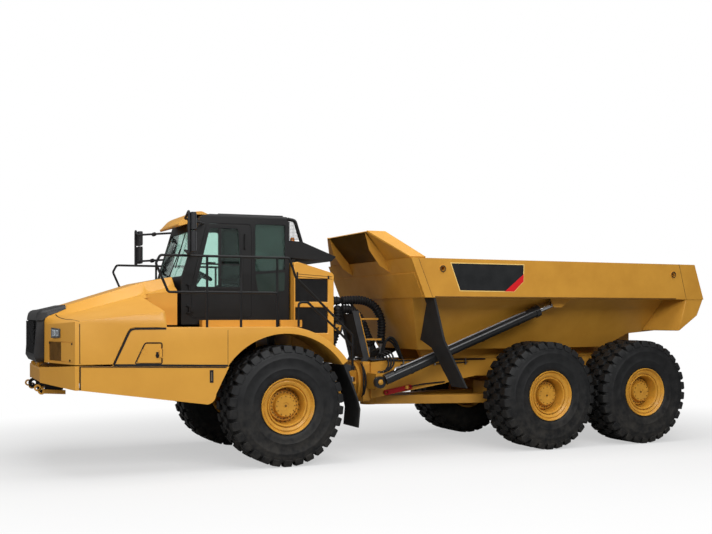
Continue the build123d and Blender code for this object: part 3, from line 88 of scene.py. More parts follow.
def add_node(tree, kind, values=None, operation=None):
    """Shader node with its operation and the values of its inputs."""
    node = tree.nodes.new("ShaderNode" + kind)
    if operation:
        node.operation = operation
    set_inputs(node, values or {})
    return node


def join(tree, *links):
    """Links, each a node and its output, then a node and its input."""
    for source, output, target, socket in links:
        tree.links.new(source.outputs[output], target.inputs[socket])


def seen_directly(tree):
    """Node whose value is 1 on what the camera sees, straight or through glass."""
    ray = add_node(tree, "LightPath")
    seen = add_node(tree, "Math", operation="MAXIMUM")
    join(tree, (ray, "Is Camera Ray", seen, 0), (ray, "Is Transmission Ray", seen, 1))
    return seen


# the sky lights the truck weakly but looks white
sky = bpy.data.worlds.new("studio_sky")
sky.use_nodes = True
studio.world = sky
tree = sky.node_tree
lighting = tree.nodes["Background"]
set_inputs(lighting, {"Color": (1, 1, 1, 1), "Strength": 0.21})
backdrop = add_node(tree, "Background", {"Color": (1, 1, 1, 1), "Strength": 1.0})
direct = seen_directly(tree)
mix = add_node(tree, "MixShader")
join(tree, (direct, "Value", mix, "Fac"), (lighting, "Background", mix, 1),
     (backdrop, "Background", mix, 2), (mix, "Shader", tree.nodes["World Output"], "Surface"))

# the floor takes the truck's shadow near it and fades into the white sky farther out
floor_mesh = bpy.data.meshes.new("floor")
floor_form = bmesh.new()
bmesh.ops.create_grid(floor_form, x_segments=1, y_segments=1, size=120)
floor_form.to_mesh(floor_mesh)
floor_form.free()
floor = bpy.data.objects.new("floor", floor_mesh)
studio.collection.objects.link(floor)
floor_paint = bpy.data.materials.new("studio_floor")
floor_paint.use_nodes = True
tree = floor_paint.node_tree
tree.nodes.clear()
surface = add_node(tree, "OutputMaterial")
diffuse = add_node(tree, "BsdfDiffuse", {"Color": (0.30, 0.30, 0.30, 1)})
glow = add_node(tree, "Emission")
direct = seen_directly(tree)
place = add_node(tree, "TexCoord")
shrink = add_node(tree, "VectorMath", {1: (1 / 9.5, 1 / 7.0, 0)}, "MULTIPLY")
reach = add_node(tree, "VectorMath", operation="LENGTH")
fade = add_node(tree, "MapRange", {"From Min": 0.55, "From Max": 1.25})
fade.interpolation_type = "SMOOTHSTEP"
level = add_node(tree, "MapRange", {"To Min": 0.52, "To Max": 1.0})
power = add_node(tree, "Math", operation="MULTIPLY")
far = add_node(tree, "Math", operation="MULTIPLY")
total = add_node(tree, "AddShader")
black = add_node(tree, "Emission", {"Strength": 0.0})
near = add_node(tree, "MixShader")
join(tree, (place, "Object", shrink, 0), (shrink, "Vector", reach, 0), (reach, "Value", fade, "Value"),
     (fade, "Result", level, "Value"), (level, "Result", power, 0), (direct, "Value", power, 1),
     (power, "Value", glow, "Strength"), (fade, "Result", far, 0), (direct, "Value", far, 1),
     (far, "Value", near, "Fac"), (diffuse, "BSDF", near, 1), (black, "Emission", near, 2),
     (near, "Shader", total, 0), (glow, "Emission", total, 1), (total, "Shader", surface, "Surface"))
floor_mesh.materials.append(floor_paint)

# ---------------------------------------------------------------- painted sheet metal
# Hood, fenders, panels and bumper: pressed and welded sheet in warm yellow gloss paint.
# The shells keep the CAD form; their edges are rounded as folded sheet is.
# The uneven finish is a broad mottling of a colour, uneven gloss and a fine grain.
uneven = bpy.data.node_groups.new("uneven_finish", "ShaderNodeTree")
for label, kind, value in (
        ("Colour", "Color", (0.5, 0.5, 0.5, 1)), ("Second Colour", "Color", (0.4, 0.4, 0.4, 1)),
        ("Mottle Size", "Float", 2.0), ("Grain Size", "Float", 200.0), ("Roughness", "Float", 0.4),
        ("Roughness Spread", "Float", 0.1), ("Ground Dust", "Float", 0.0)):
    socket = uneven.interface.new_socket(name=label, in_out="INPUT", socket_type="NodeSocket" + kind)
    socket.default_value = value
for label, kind in (("Colour", "Color"), ("Roughness", "Float"), ("Height", "Float")):
    uneven.interface.new_socket(name=label, in_out="OUTPUT", socket_type="NodeSocket" + kind)
given, result = uneven.nodes.new("NodeGroupInput"), uneven.nodes.new("NodeGroupOutput")
place = add_node(uneven, "TexCoord")
mottling = add_node(uneven, "TexNoise", {"Detail": 5, "Roughness": 0.6})
fine = add_node(uneven, "TexNoise", {"Detail": 2})
patches = add_node(uneven, "MapRange", {"From Min": 0.35, "From Max": 0.7})
blend, dusted = add_node(uneven, "Mix"), add_node(uneven, "Mix")
blend.data_type = dusted.data_type = "RGBA"
set_inputs(dusted, {"B": (0.32, 0.27, 0.2, 1)})
rough = add_node(uneven, "Math", operation="MULTIPLY_ADD")
split = add_node(uneven, "SeparateXYZ")
low = add_node(uneven, "MapRange", {"From Min": 1.1, "From Max": 0.1})
dust = add_node(uneven, "Math", operation="MULTIPLY")
patchy_dust = add_node(uneven, "Math", operation="MULTIPLY")
join(uneven, (place, "Object", mottling, "Vector"), (place, "Object", fine, "Vector"),
     (given, "Mottle Size", mottling, "Scale"), (given, "Grain Size", fine, "Scale"),
     (mottling, "Fac", patches, "Value"), (patches, "Result", blend, "Factor"),
     (given, "Colour", blend, "A"), (given, "Second Colour", blend, "B"),
     (patches, "Result", rough, 0), (given, "Roughness Spread", rough, 1), (given, "Roughness", rough, 2),
     (place, "Object", split, "Vector"), (split, "Z", low, "Value"), (low, "Result", dust, 0),
     (given, "Ground Dust", dust, 1), (dust, "Value", patchy_dust, 0), (patches, "Result", patchy_dust, 1),
     (patchy_dust, "Value", dusted, "Factor"), (blend, "Result", dusted, "A"),
     (dusted, "Result", result, "Colour"), (rough, "Value", result, "Roughness"),
     (fine, "Fac", result, "Height"))


def finish(name, colour, second, rough, spread=0.08, mottle=1.2, grain=160.0, bump=0.02,
                    dust=0.0, metal=0.0, coat=0.0, gloss=0.22):
    """Principled material whose colour, gloss and grain come from the uneven finish."""
    material = bpy.data.materials.new(name)
    material.use_nodes = True
    tree = material.node_tree
    shader = tree.nodes["Principled BSDF"]
    recipe = add_node(tree, "Group")
    recipe.node_tree = uneven
    set_inputs(recipe, {
        "Colour": (*colour, 1), "Second Colour": (*second, 1), "Mottle Size": mottle, "Grain Size": grain,
        "Roughness": rough, "Roughness Spread": spread, "Ground Dust": dust})
    relief = add_node(tree, "Bump", {"Strength": bump, "Distance": 0.01})
    join(tree, (recipe, "Colour", shader, "Base Color"), (recipe, "Roughness", shader, "Roughness"),
         (recipe, "Height", relief, "Height"), (relief, "Normal", shader, "Normal"))
    set_inputs(shader, {"Metallic": metal, "Coat Weight": coat, "Coat Roughness": 0.12,
                        "Specular IOR Level": 0.5 if metal else gloss})
    return material


yellow_paint = finish("yellow_paint", (0.66, 0.325, 0.046), (0.60, 0.285, 0.036), 0.36,
                               coat=0.12, dust=0.06, gloss=0.3)
rear_paint = finish("rear_yellow_paint", (0.58, 0.285, 0.038), (0.50, 0.235, 0.028), 0.42,
                             coat=0.08, dust=0.10, mottle=2.0, gloss=0.25)
black_paint = finish("black_paint", (0.008, 0.008, 0.0085), (0.012, 0.012, 0.0125), 0.38,
                              gloss=0.2)
axle_low, axle_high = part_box("front_left_tyre")
datum = (axle_low.x + axle_high.x) / 2      # station of the front axle along the truck


def spot(x, y, z):
    """Point given from the ground under the front axle."""
    return Vector((datum + x, y, z))


def soften(form, angle):
    """Smooth shading except across edges sharper than the angle."""
    for face in form.faces:
        face.smooth = True
    for edge in form.edges:
        edge.smooth = len(edge.link_faces) == 2 and edge.calc_face_angle(pi) < radians(angle)


def make_piece(name, form, material, body, sharp=34):
    """Object from a bmesh, riding on its body; edges over the sharp angle stay creased."""
    if not name.endswith("_finish"):
        bmesh.ops.recalc_face_normals(form, faces=form.faces)
    soften(form, sharp)
    mesh = bpy.data.meshes.new(name)
    form.to_mesh(mesh)
    form.free()
    piece = bpy.data.objects.new(name, mesh)
    studio.collection.objects.link(piece)
    mesh.materials.append(material)
    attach(piece, body)
    return piece


def round_edges(piece, width, segments=2):
    """Round the edges that turn by more than 32 degrees."""
    bevel = piece.modifiers.new("rounded_edges", "BEVEL")
    bevel.width = width
    bevel.segments = segments
    bevel.limit_method = "ANGLE"
    bevel.angle_limit = radians(32)
    return piece


def refined(node, material, body, width=0.0, segments=2, broad=None, broad_width=0.03):
    """Merged copy of a CAD node with rounded edges, the ones picked by broad wider, for the node."""
    form = bmesh.new()
    form.from_mesh(nodes[node].data)
    bmesh.ops.remove_doubles(form, verts=form.verts, dist=0.00002)
    bmesh.ops.dissolve_limit(form, angle_limit=radians(0.6), verts=form.verts, edges=form.edges)
    if broad:
        ground = spot(0, 0, 0)
        picked = [edge for edge in form.edges
                  if len(edge.link_faces) == 2 and edge.calc_face_angle(0) > radians(12)
                  and broad((edge.verts[0].co + edge.verts[1].co) / 2 - ground,
                            edge.verts[1].co - edge.verts[0].co)]
        bmesh.ops.bevel(form, geom=picked, offset=broad_width, offset_type="OFFSET", segments=5,
                        profile=0.5, affect="EDGES", clamp_overlap=True, material=-1)
    piece = make_piece(node + "_finish", form, material, body)
    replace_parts(piece, node)
    if width:
        round_edges(piece, width, segments)
    return piece


def hood_shoulders(middle, run):
    """Long upper edges of the hood."""
    return abs(run.x) > 0.2 and middle.z > 2.09 and not 0.7 < abs(middle.y) < 0.96


def fender_tops(middle, run):
    """Upper outer edges of the fenders, ahead of and behind the wheel arch."""
    arch = ((middle.x - 0.015) ** 2 + (middle.z - 0.873) ** 2) ** 0.5
    return abs(abs(middle.y) - 1.66) < 0.002 and arch > 1.12 and (middle.z > 2.0 or middle.x < -0.05)


refined("hood", yellow_paint, "hood_unit", 0.008, 3, hood_shoulders, 0.032)
refined("fenders", yellow_paint, "front_unit", 0.008, 3, fender_tops, 0.038)
for shell in ("side_panels", "bumper", "service_door", "cab_visor", "radiator_module"):
    body = "service_door_unit" if shell == "service_door" else "front_unit"
    refined(shell, yellow_paint, body, 0.010, 3)
for shell in ("rear_frame", "walking_beams", "axle_tongue", "tandem_axles", "front_axle"):
    body = "front_unit" if shell == "front_axle" else "rear_unit"
    refined(shell, rear_paint, body, 0.006)

# ---------------------------------------------------------------- dump body
# Welded steel-plate body with deep side rails, front wall and raised headboard under one gloss
# coat; it is pinned to the rear frame at its tail and lifted by two cylinders.
for shell in ("dump_body", "headboard"):
    refined(shell, rear_paint, "dump_unit", 0.010)

# ---------------------------------------------------------------- frames and black steel
# Front frame, cab shell, rails, steps and guard: welded steel under black enamel, bolted
# together; the hitch head between the two frames is a casting in the rear unit's yellow.
for shell, width in (("front_frame", 0.006), ("deck_supports", 0.006), ("front_struts", 0.004)):
    refined(shell, black_paint, "front_unit", width)
refined("hitch_head", rear_paint, "rear_unit", 0.012)
refined("cab", black_paint, "front_unit", 0.010)
refined("cab_roof", black_paint, "front_unit", 0.012, 3)
refined("cab_door", black_paint, "cab_door_unit", 0.006)
refined("handrails", black_paint, "front_unit")
refined("rear_guard", black_paint, "front_unit", 0.010)

# ---------------------------------------------------------------- tyres
# Radial off-road tyres: smooth sidewalls with moulded rings, a ring of five-sided lugs on
# each shoulder and a double row of slanted blocks between them.
tyre_rubber = finish("tyre_rubber", (0.010, 0.0103, 0.011), (0.017, 0.0174, 0.018), 0.46,
                              spread=0.2, mottle=9, grain=120, bump=0.12, dust=0.08)
tyre_radius = 0.893
groove_radius = 0.842
lug_count = 30
lug_pitch = 2 * pi / lug_count
# carcass outline from the inner bead over the crown, then its hollow: radius, across
sidewall = [
    (0.4135, 0.331), (0.4145, 0.338), (0.428, 0.336), (0.440, 0.352), (0.452, 0.357), (0.470, 0.3625),
    (0.500, 0.3675), (0.545, 0.3705), (0.552, 0.3740), (0.560, 0.3705), (0.620, 0.3705), (0.690, 0.3700),
    (0.700, 0.3735), (0.712, 0.3735), (0.720, 0.3690), (0.755, 0.3640), (0.790, 0.3560), (0.815, 0.3440),
    (0.832, 0.322), (groove_radius, 0.290), (groove_radius, 0.15)]
hollow = [(0.470, -0.318), (0.640, -0.338), (0.785, -0.283), (0.785, 0.283), (0.640, 0.338), (0.470, 0.318)]
# corners of the tread blocks and of their wider feet: across, along, radius
shoulder_block = [
    (0.165, 0.000, tyre_radius), (0.215, 0.062, tyre_radius), (0.330, 0.058, tyre_radius - 0.002),
    (0.330, -0.058, tyre_radius - 0.002), (0.215, -0.062, tyre_radius),
    (0.155, 0.0, 0.838), (0.210, 0.072, 0.834), (0.353, 0.066, 0.846), (0.353, -0.066, 0.846),
    (0.210, -0.072, 0.834), (0.3655, 0.060, 0.795), (0.3655, -0.060, 0.795), (0.340, 0.060, 0.780),
    (0.340, -0.060, 0.780)]
centre_block = [
    (-0.02, 0.020, tyre_radius), (0.075, 0.075, tyre_radius), (0.150, 0.045, tyre_radius),
    (0.135, -0.030, tyre_radius), (0.06, -0.030, tyre_radius), (-0.02, -0.062, tyre_radius),
    (-0.03, 0.028, 0.838), (0.075, 0.085, 0.838), (0.160, 0.050, 0.838), (0.143, -0.040, 0.838),
    (0.06, -0.040, 0.838), (-0.03, -0.070, 0.838)]


def turned(outline, steps):
    """Ring about the Y axis from a closed outline of radius and across."""
    form = bmesh.new()
    chain = [form.verts.new((0, across, radius)) for radius, across in outline]
    edges = [form.edges.new(pair) for pair in zip(chain, chain[1:] + chain[:1])]
    bmesh.ops.spin(form, geom=chain + edges, cent=(0, 0, 0), axis=(0, 1, 0), angle=2 * pi, steps=steps,
                   use_merge=True)
    return form


def lug(form, corners, side, turn):
    """Tread block: the hull of its corners, turned about the axle."""
    points = [form.verts.new((along, side * across, radius)) for across, along, radius in corners]
    hull = bmesh.ops.convex_hull(form, input=points, use_existing_faces=False)
    inner = [item for item in hull["geom_interior"] if isinstance(item, bmesh.types.BMVert)]
    bmesh.ops.delete(form, geom=inner, context="VERTS")
    bmesh.ops.rotate(form, verts=[point for point in points if point.is_valid], cent=(0, 0, 0),
                     matrix=Matrix.Rotation(turn, 3, "Y"))


def node_centre(name):
    """Middle of a CAD node's box."""
    low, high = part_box(name)
    return (low + high) / 2


template = turned(sidewall + [(radius, -across) for radius, across in reversed(sidewall)] + hollow, 90)
bmesh.ops.recalc_face_normals(template, faces=template.faces)
for index in range(lug_count):
    for side, shift in ((1, 0), (-1, 0.5)):
        lug(template, shoulder_block, side, (index + shift) * lug_pitch)
        lug(template, centre_block, side, (index + shift + 0.5) * lug_pitch)
bmesh.ops.recalc_face_normals(template, faces=template.faces)
template_mesh = bpy.data.meshes.new("tyre_template")
template.to_mesh(template_mesh)
template.free()
wheels = [(f"{axle}_{hand}", 1 if hand == "left" else -1)
          for axle in ("front", "mid", "rear") for hand in ("left", "right")]
for wheel, side in wheels:
    form = bmesh.new()
    form.from_mesh(template_mesh)
    if side < 0:
        bmesh.ops.rotate(form, verts=form.verts, cent=(0, 0, 0), matrix=Matrix.Rotation(pi, 3, "Z"))
    bmesh.ops.translate(form, verts=form.verts, vec=node_centre(wheel + "_tyre"))
    tyre = make_piece(wheel + "_tread", form, tyre_rubber, wheel + "_wheel")
    round_edges(tyre, 0.004, 1)
    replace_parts(tyre, wheel + "_tyre")
bpy.data.meshes.remove(template_mesh)

# ---------------------------------------------------------------- wheel rims
# Five-piece steel rims with a lock ring, painted yellow, and a planetary hub whose cover and
# wheel nuts are bolted on.
rim_paint = finish("rim_yellow_paint", (0.63, 0.31, 0.035), (0.50, 0.23, 0.022), 0.36,
                            mottle=6, dust=0.10, coat=0.12, gloss=0.3)
# brown of the wheel nuts; also used for the dark strip under the body's rails, which is painted shade
bolt_and_shade_brown = finish("bolt_and_shade_brown", (0.17, 0.08, 0.012), (0.12, 0.055, 0.010), 0.4, mottle=20)
# from the hub's bore round the barrel and over the outer face to the hub cover: radius, across
rim_outline = [
    (0.0901, -0.342), (0.205, -0.342), (0.205, 0.070), (0.300, 0.070), (0.320, 0.270), (0.370, 0.290),
    (0.370, -0.300), (0.380, -0.356), (0.414, -0.356), (0.414, -0.331), (0.395, -0.331), (0.395, 0.331),
    (0.414, 0.331), (0.414, 0.350), (0.411, 0.3565), (0.404, 0.3575), (0.398, 0.353), (0.391, 0.336),
    (0.384, 0.322), (0.374, 0.316), (0.366, 0.318), (0.362, 0.326), (0.354, 0.327), (0.320, 0.308),
    (0.315, 0.290), (0.308, 0.288), (0.305, 0.304), (0.298, 0.312), (0.287, 0.312), (0.280, 0.303),
    (0.275, 0.285), (0.264, 0.115), (0.258, 0.104), (0.236, 0.104), (0.230, 0.110), (0.229, 0.150),
    (0.223, 0.158), (0.180, 0.160), (0.173, 0.168), (0.168, 0.222), (0.158, 0.236), (0.050, 0.240),
    (0.046, 0.234), (0.0, 0.234), (0.0, 0.105), (0.0901, 0.105)]
hub_rings = (       # radius, across, count, bolt radius, height
    (0.247, 0.104, 22, 0.0085, 0.026), (0.199, 0.159, 24, 0.0105, 0.014), (0.140, 0.236, 12, 0.008, 0.012),
    (0.0, 0.234, 1, 0.018, 0.010))
for wheel, side in wheels:
    body = wheel + "_wheel"
    middle, hub = node_centre(wheel + "_rim"), node_centre(wheel + "_tyre")
    form = turned([(radius, side * across) for radius, across in rim_outline], 96)
    bmesh.ops.remove_doubles(form, verts=form.verts, dist=0.00002)
    bmesh.ops.translate(form, verts=form.verts, vec=(middle.x, hub.y, middle.z))
    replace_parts(make_piece(wheel + "_turned_rim", form, rim_paint, body), wheel + "_rim")
    form = bmesh.new()
    for ring_radius, across, count, bolt_radius, height in hub_rings:
        for index in range(count):
            turn = 2 * pi * index / count
            place = Matrix.Translation((
                middle.x + ring_radius * cos(turn), hub.y + side * (across + height / 2),
                hub.z + ring_radius * sin(turn)))
            bmesh.ops.create_cone(form, cap_ends=True, segments=6, radius1=bolt_radius,
                                  radius2=bolt_radius * 0.9, depth=height,
                                  matrix=place @ Matrix.Rotation(-side * pi / 2, 4, "X"))
    make_piece(wheel + "_bolts", form, bolt_and_shade_brown, body)

# ---------------------------------------------------------------- glass and lamps
# Tinted safety glass glued into the cab's frames; a dark film inside the rear side panes paints in
# their shade and reflection. The headlights' clear covers use the same recipe.
def glass_material(name, colour, rough, alpha, clear=0.0):
    """Glass whose gloss is slightly uneven, as if wiped; clear is its transmission."""
    material = finish(name, colour, tuple(part * 0.96 for part in colour), rough, spread=0.03,
                               mottle=5, bump=0.0, gloss=0.5)
    set_inputs(material.node_tree.nodes["Principled BSDF"],
               {"Alpha": alpha, "Transmission Weight": clear, "IOR": 1.45})
    return material


cab_tint = glass_material("cab_glass_tint", (0.66, 0.86, 0.79), 0.02, 1.0, 1.0)
for pane in ("cab_glass", "door_glass"):
    nodes[pane].data.materials.clear()
    nodes[pane].data.materials.append(cab_tint)
# dark film for the rear side panes: painted shade and reflection
painted_shade_film = glass_material("painted_shade_film", (0.035, 0.048, 0.043), 0.06, 0.90)

# ---------------------------------------------------------------- rubber and plastic
# Flaps cut from rubber sheet and bolted on behind the front wheels and ahead of the body;
# mirror housings, seat base and steering column in moulded plastic.
flap_rubber = finish("flap_rubber", (0.02, 0.02, 0.021), (0.03, 0.03, 0.03), 0.6, mottle=5,
                              dust=0.1)
refined("front_mudflaps", flap_rubber, "front_unit", 0.004)
refined("body_flaps", flap_rubber, "dump_unit", 0.004)
trim_plastic = finish("trim_plastic", (0.02, 0.02, 0.022), (0.03, 0.03, 0.032), 0.48, grain=400,
                               bump=0.08)
for shell in ("mirrors", "seat_base", "steering_column"):
    refined(shell, trim_plastic, "front_unit", 0.006)

# ---------------------------------------------------------------- cylinders
# Hydraulic cylinders on pins, with black barrels and polished rods. Beside them are the red link
# that locks the hitch for transport and the engine's plain block.
polished_steel = finish("polished_steel", (0.62, 0.63, 0.65), (0.5, 0.5, 0.52), 0.14, metal=1.0,
                                 mottle=20, bump=0.0)
gloss_black = finish("gloss_black", (0.014, 0.015, 0.016), (0.02, 0.02, 0.021), 0.22, coat=0.25)
for hand in ("left", "right"):
    for kind, slot in (("hoist", "hull_yellow"), ("steering", "chassis_black")):
        refined(f"{hand}_{kind}_barrel", gloss_black, f"{hand}_{kind}_barrel_unit", 0.004)
        refined(f"{hand}_{kind}_rod", polished_steel, f"{hand}_{kind}_rod_unit", 0.002)
lock_red = finish("lock_red", (0.36, 0.012, 0.014), (0.28, 0.01, 0.01), 0.4)
refined("lock_link", lock_red, "rear_unit", 0.005)
refined("engine", black_paint, "front_unit", 0.02)

# ---------------------------------------------------------------- seat
# Foam cushion under a woven cover, screwed to its base; the foam swells the cover between its
# edges.
seat_cloth = finish("seat_cloth", (0.03, 0.031, 0.034), (0.05, 0.05, 0.055), 0.85, grain=900,
                             bump=0.3)
cushion = refined("seat_cushion", seat_cloth, "front_unit", 0.03, 4)


def settled(piece):
    """The piece's mesh as its modifiers leave it; they are taken off."""
    shaped = piece.evaluated_get(bpy.context.evaluated_depsgraph_get())
    settled_mesh = bpy.data.meshes.new_from_object(shaped)
    piece.modifiers.clear()
    return settled_mesh


def pad_out(piece, voxel, swell):
    """Stuff a closed form as foam does under its cover; no point moves more than swell."""
    places = [vertex.co for vertex in piece.data.vertices]
    low, high = [Vector([pick(place[axis] for place in places) for axis in range(3)])
                 for pick in (min, max)]
    for vertex in piece.data.vertices:
        shift = vertex.co - (low + high) / 2
        vertex.co -= Vector([min(swell, abs(part)) * (1 if part > 0 else -1) for part in shift])
    even = piece.modifiers.new("even_mesh", "REMESH")
    even.mode = "VOXEL"
    even.voxel_size = voxel
    piece.data = settled(piece)
    cloth = piece.modifiers.new("stuffing", "CLOTH")
    cloth.settings.use_pressure = True
    cloth.settings.uniform_pressure_force = 4
    cloth.settings.effector_weights.gravity = 0
    for step in range(1, 21):
        studio.frame_set(step)
    stuffed = settled(piece)
    for before, after in zip(piece.data.vertices, stuffed.vertices):
        shift = after.co - before.co
        after.co = before.co + shift * min(1, swell / max(shift.length, 0.0001))
    piece.data = stuffed
    studio.frame_set(1)


pad_out(cushion, 0.012, 0.014)

# ---------------------------------------------------------------- nose
# Pressed steel grille surround with a plastic cap over the hood's nose, wire mesh in the vents whose
# brown and backing sheet are painted shade, and twin headlights in moulded bezels; all of it is screwed to
# the hood and tips with it.
nose_run = 0.272                    # how far the chamfered corner runs back for each metre outward
nose_cos = 1 / (1 + nose_run ** 2) ** 0.5
nose_sin = nose_run * nose_cos
x_way, y_way, z_way = Vector((1, 0, 0)), Vector((0, 1, 0)), Vector((0, 0, 1))


def nose_spot(y, z, out, hand):
    """Point on the chamfered corner of the nose, out metres in front of its sheet."""
    return spot(3.31 - (y - 0.66) * nose_run + out * nose_cos, hand * (y + out * nose_sin), z)


def rectangle(low_a, low_b, high_a, high_b):
    """Corners of an upright rectangle."""
    return [(low_a, low_b), (high_a, low_b), (high_a, high_b), (low_a, high_b)]


def beam(form, start, end, across, width, height):
    """Square-edged bar from start to end; across is the direction of its width."""
    run = (end - start).normalized()
    side_way = across.normalized() * width / 2
    up_way = run.cross(across).normalized() * height / 2
    corners = [form.verts.new(base + a * side_way + b * up_way)
               for base in (start, end) for a, b in ((-1, -1), (1, -1), (1, 1), (-1, 1))]
    for loop in ((0, 1, 2, 3), (4, 5, 6, 7), (0, 1, 5, 4), (1, 2, 6, 5), (2, 3, 7, 6), (3, 0, 4, 7)):
        form.faces.new([corners[index] for index in loop])


def wire_mesh(form, place, corners, pitch, wire):
    """Crossed wires filling a convex outline; place turns outline coordinates into points."""
    normal = (place(1, 0) - place(0, 0)).cross(place(0, 1) - place(0, 0))
    for axis in (0, 1):
        level = min(corner[axis] for corner in corners) + pitch / 2
        while level < max(corner[axis] for corner in corners):
            cuts = []
            for first, second in zip(corners, corners[1:] + corners[:1]):
                if (first[axis] - level) * (second[axis] - level) < 0:
                    share = (level - first[axis]) / (second[axis] - first[axis])
                    cuts.append(first[1 - axis] + share * (second[1 - axis] - first[1 - axis]))
            if len(cuts) == 2:
                ends = [place(level, cut) if axis == 0 else place(cut, level) for cut in sorted(cuts)]
                beam(form, ends[0], ends[1], normal, wire * 0.6, wire)
            level += pitch


def prism(form, corners, push):
    """Flat plate from its corners, thickened by push; gives back its far face."""
    base = form.faces.new([form.verts.new(corner) for corner in corners])
    grown = bmesh.ops.extrude_face_region(form, geom=[base])["geom"]
    moved = [item for item in grown if isinstance(item, bmesh.types.BMVert)]
    bmesh.ops.translate(form, verts=moved, vec=push)
    return next(item for item in grown if isinstance(item, bmesh.types.BMFace))


def rod(form, start, end, radius, segments=10, tip=None):
    """Straight round bar, or a cone if its tip has another radius."""
    run = end - start
    place = Matrix.Translation((start + end) / 2) @ run.to_track_quat("Z", "Y").to_matrix().to_4x4()
    bmesh.ops.create_cone(form, cap_ends=True, segments=segments, radius1=radius,
                          radius2=radius if tip is None else tip, depth=run.length, matrix=place)


grille_grey = finish("grille_grey", (0.016, 0.016, 0.017), (0.024, 0.024, 0.025), 0.40,
                              mottle=4, gloss=0.35)
refined("grille", grille_grey, "hood_unit", 0.022, 4)
hood_form = bmesh.new()
hood_form.from_mesh(nodes["hood"].data)
hood_tree = BVHTree.FromBMesh(hood_form)
hood_form.free()


def hood_hit(x, y):
    """Point and normal of the hood's outside above a place."""
    return hood_tree.ray_cast(Vector((datum + x, y, 4)), -z_way)[:2]


# cap: rows across the hood's nose, then rows that bend down over the grille
form = bmesh.new()
cap_edge = 0.645
cap_ys = (-cap_edge, -0.640, -0.615, -0.575, -0.52, -0.35, -0.17, 0,
          0.17, 0.35, 0.52, 0.575, 0.615, 0.640, cap_edge)
rows = []
for x in (3.02, 3.08, 3.15, 3.22, 3.29):
    top = hood_hit(x, 0)[0].z + 0.014
    rows.append([(x, y, hood_hit(x, cap_edge)[0].z + 0.004 if abs(y) > 0.642 else
                  top - 0.045 if abs(y) > 0.63 else top - 0.014 if abs(y) > 0.6 else top) for y in cap_ys])
for x, drop in ((3.345, 0.006), (3.385, 0.024), (3.412, 0.055), (3.424, 0.10), (3.426, 0.16)):
    rows.append([(x, y * (1 - 0.012 * (x > 3.4)), max(z - drop, 2.16) if abs(y) < 0.642 else 2.16)
                 for _, y, z in rows[4]])
grid = [[form.verts.new(spot(*point)) for point in row] for row in rows]
for first, second in zip(grid, grid[1:]):
    for column in range(len(cap_ys) - 1):
        form.faces.new((first[column], first[column + 1], second[column + 1], second[column]))
bmesh.ops.recalc_face_normals(form, faces=form.faces)
if form.faces[0].normal.z < 0:
    bmesh.ops.reverse_faces(form, faces=form.faces)
bmesh.ops.solidify(form, geom=form.faces[:], thickness=0.006)
make_piece("nose_cap", form, grille_grey, "hood_unit")

screen_black = finish("screen_black", (0.012, 0.012, 0.013), (0.02, 0.02, 0.021), 0.7, mottle=8)
form = bmesh.new()
prism(form, [spot(3.345, y, z) for y, z in rectangle(-0.49, 1.70, 0.49, 2.16)], x_way * 0.004)
wire_mesh(form, lambda y, z: spot(3.356, y, z), rectangle(-0.488, 1.70, 0.488, 2.16), 0.021, 0.006)
wire_mesh(form, lambda y, z: spot(3.4475, y, z), rectangle(-0.50, 1.68, 0.50, 2.15), 0.019, 0.007)
make_piece("grille_screen", form, screen_black, "hood_unit")

# vents: mesh on a backing sheet over the inboard half, both in a brown that paints in the shade behind the
# wires; screwed panel over the outboard half
vent_mesh_shade_brown = finish("vent_mesh_shade_brown", (0.19, 0.09, 0.018), (0.12, 0.06, 0.012), 0.5, mottle=10)
vent, panel = rectangle(0.81, 1.60, 1.195, 1.862), rectangle(1.205, 1.60, 1.588, 1.862)
mesh_form, panel_form, screw_form = bmesh.new(), bmesh.new(), bmesh.new()
for hand in (1, -1):
    proud = nose_spot(1, 1.7, 0.001, hand) - nose_spot(1, 1.7, 0, hand)
    # backing sheet and wires: their brown is painted shade over the wires' yellow
    prism(mesh_form, [nose_spot(y, z, -0.0098, hand) for y, z in vent], proud)
    wire_mesh(mesh_form, lambda y, z: nose_spot(y, z, -0.006, hand), vent, 0.016, 0.0055)
    prism(panel_form, [nose_spot(y, z, -0.0098, hand) for y, z in panel], proud * 8)
    for y, z in ((1.565, 1.843), (1.50, 1.617), (0.83, 1.843)):
        rod(screw_form, nose_spot(y, z, -0.003, hand), nose_spot(y, z, 0.008, hand), 0.014, 6)
make_piece("vent_screens", mesh_form, vent_mesh_shade_brown, "hood_unit")
round_edges(make_piece("vent_panels", panel_form, yellow_paint, "hood_unit"), 0.003)
make_piece("vent_screws", screw_form, black_paint, "hood_unit")

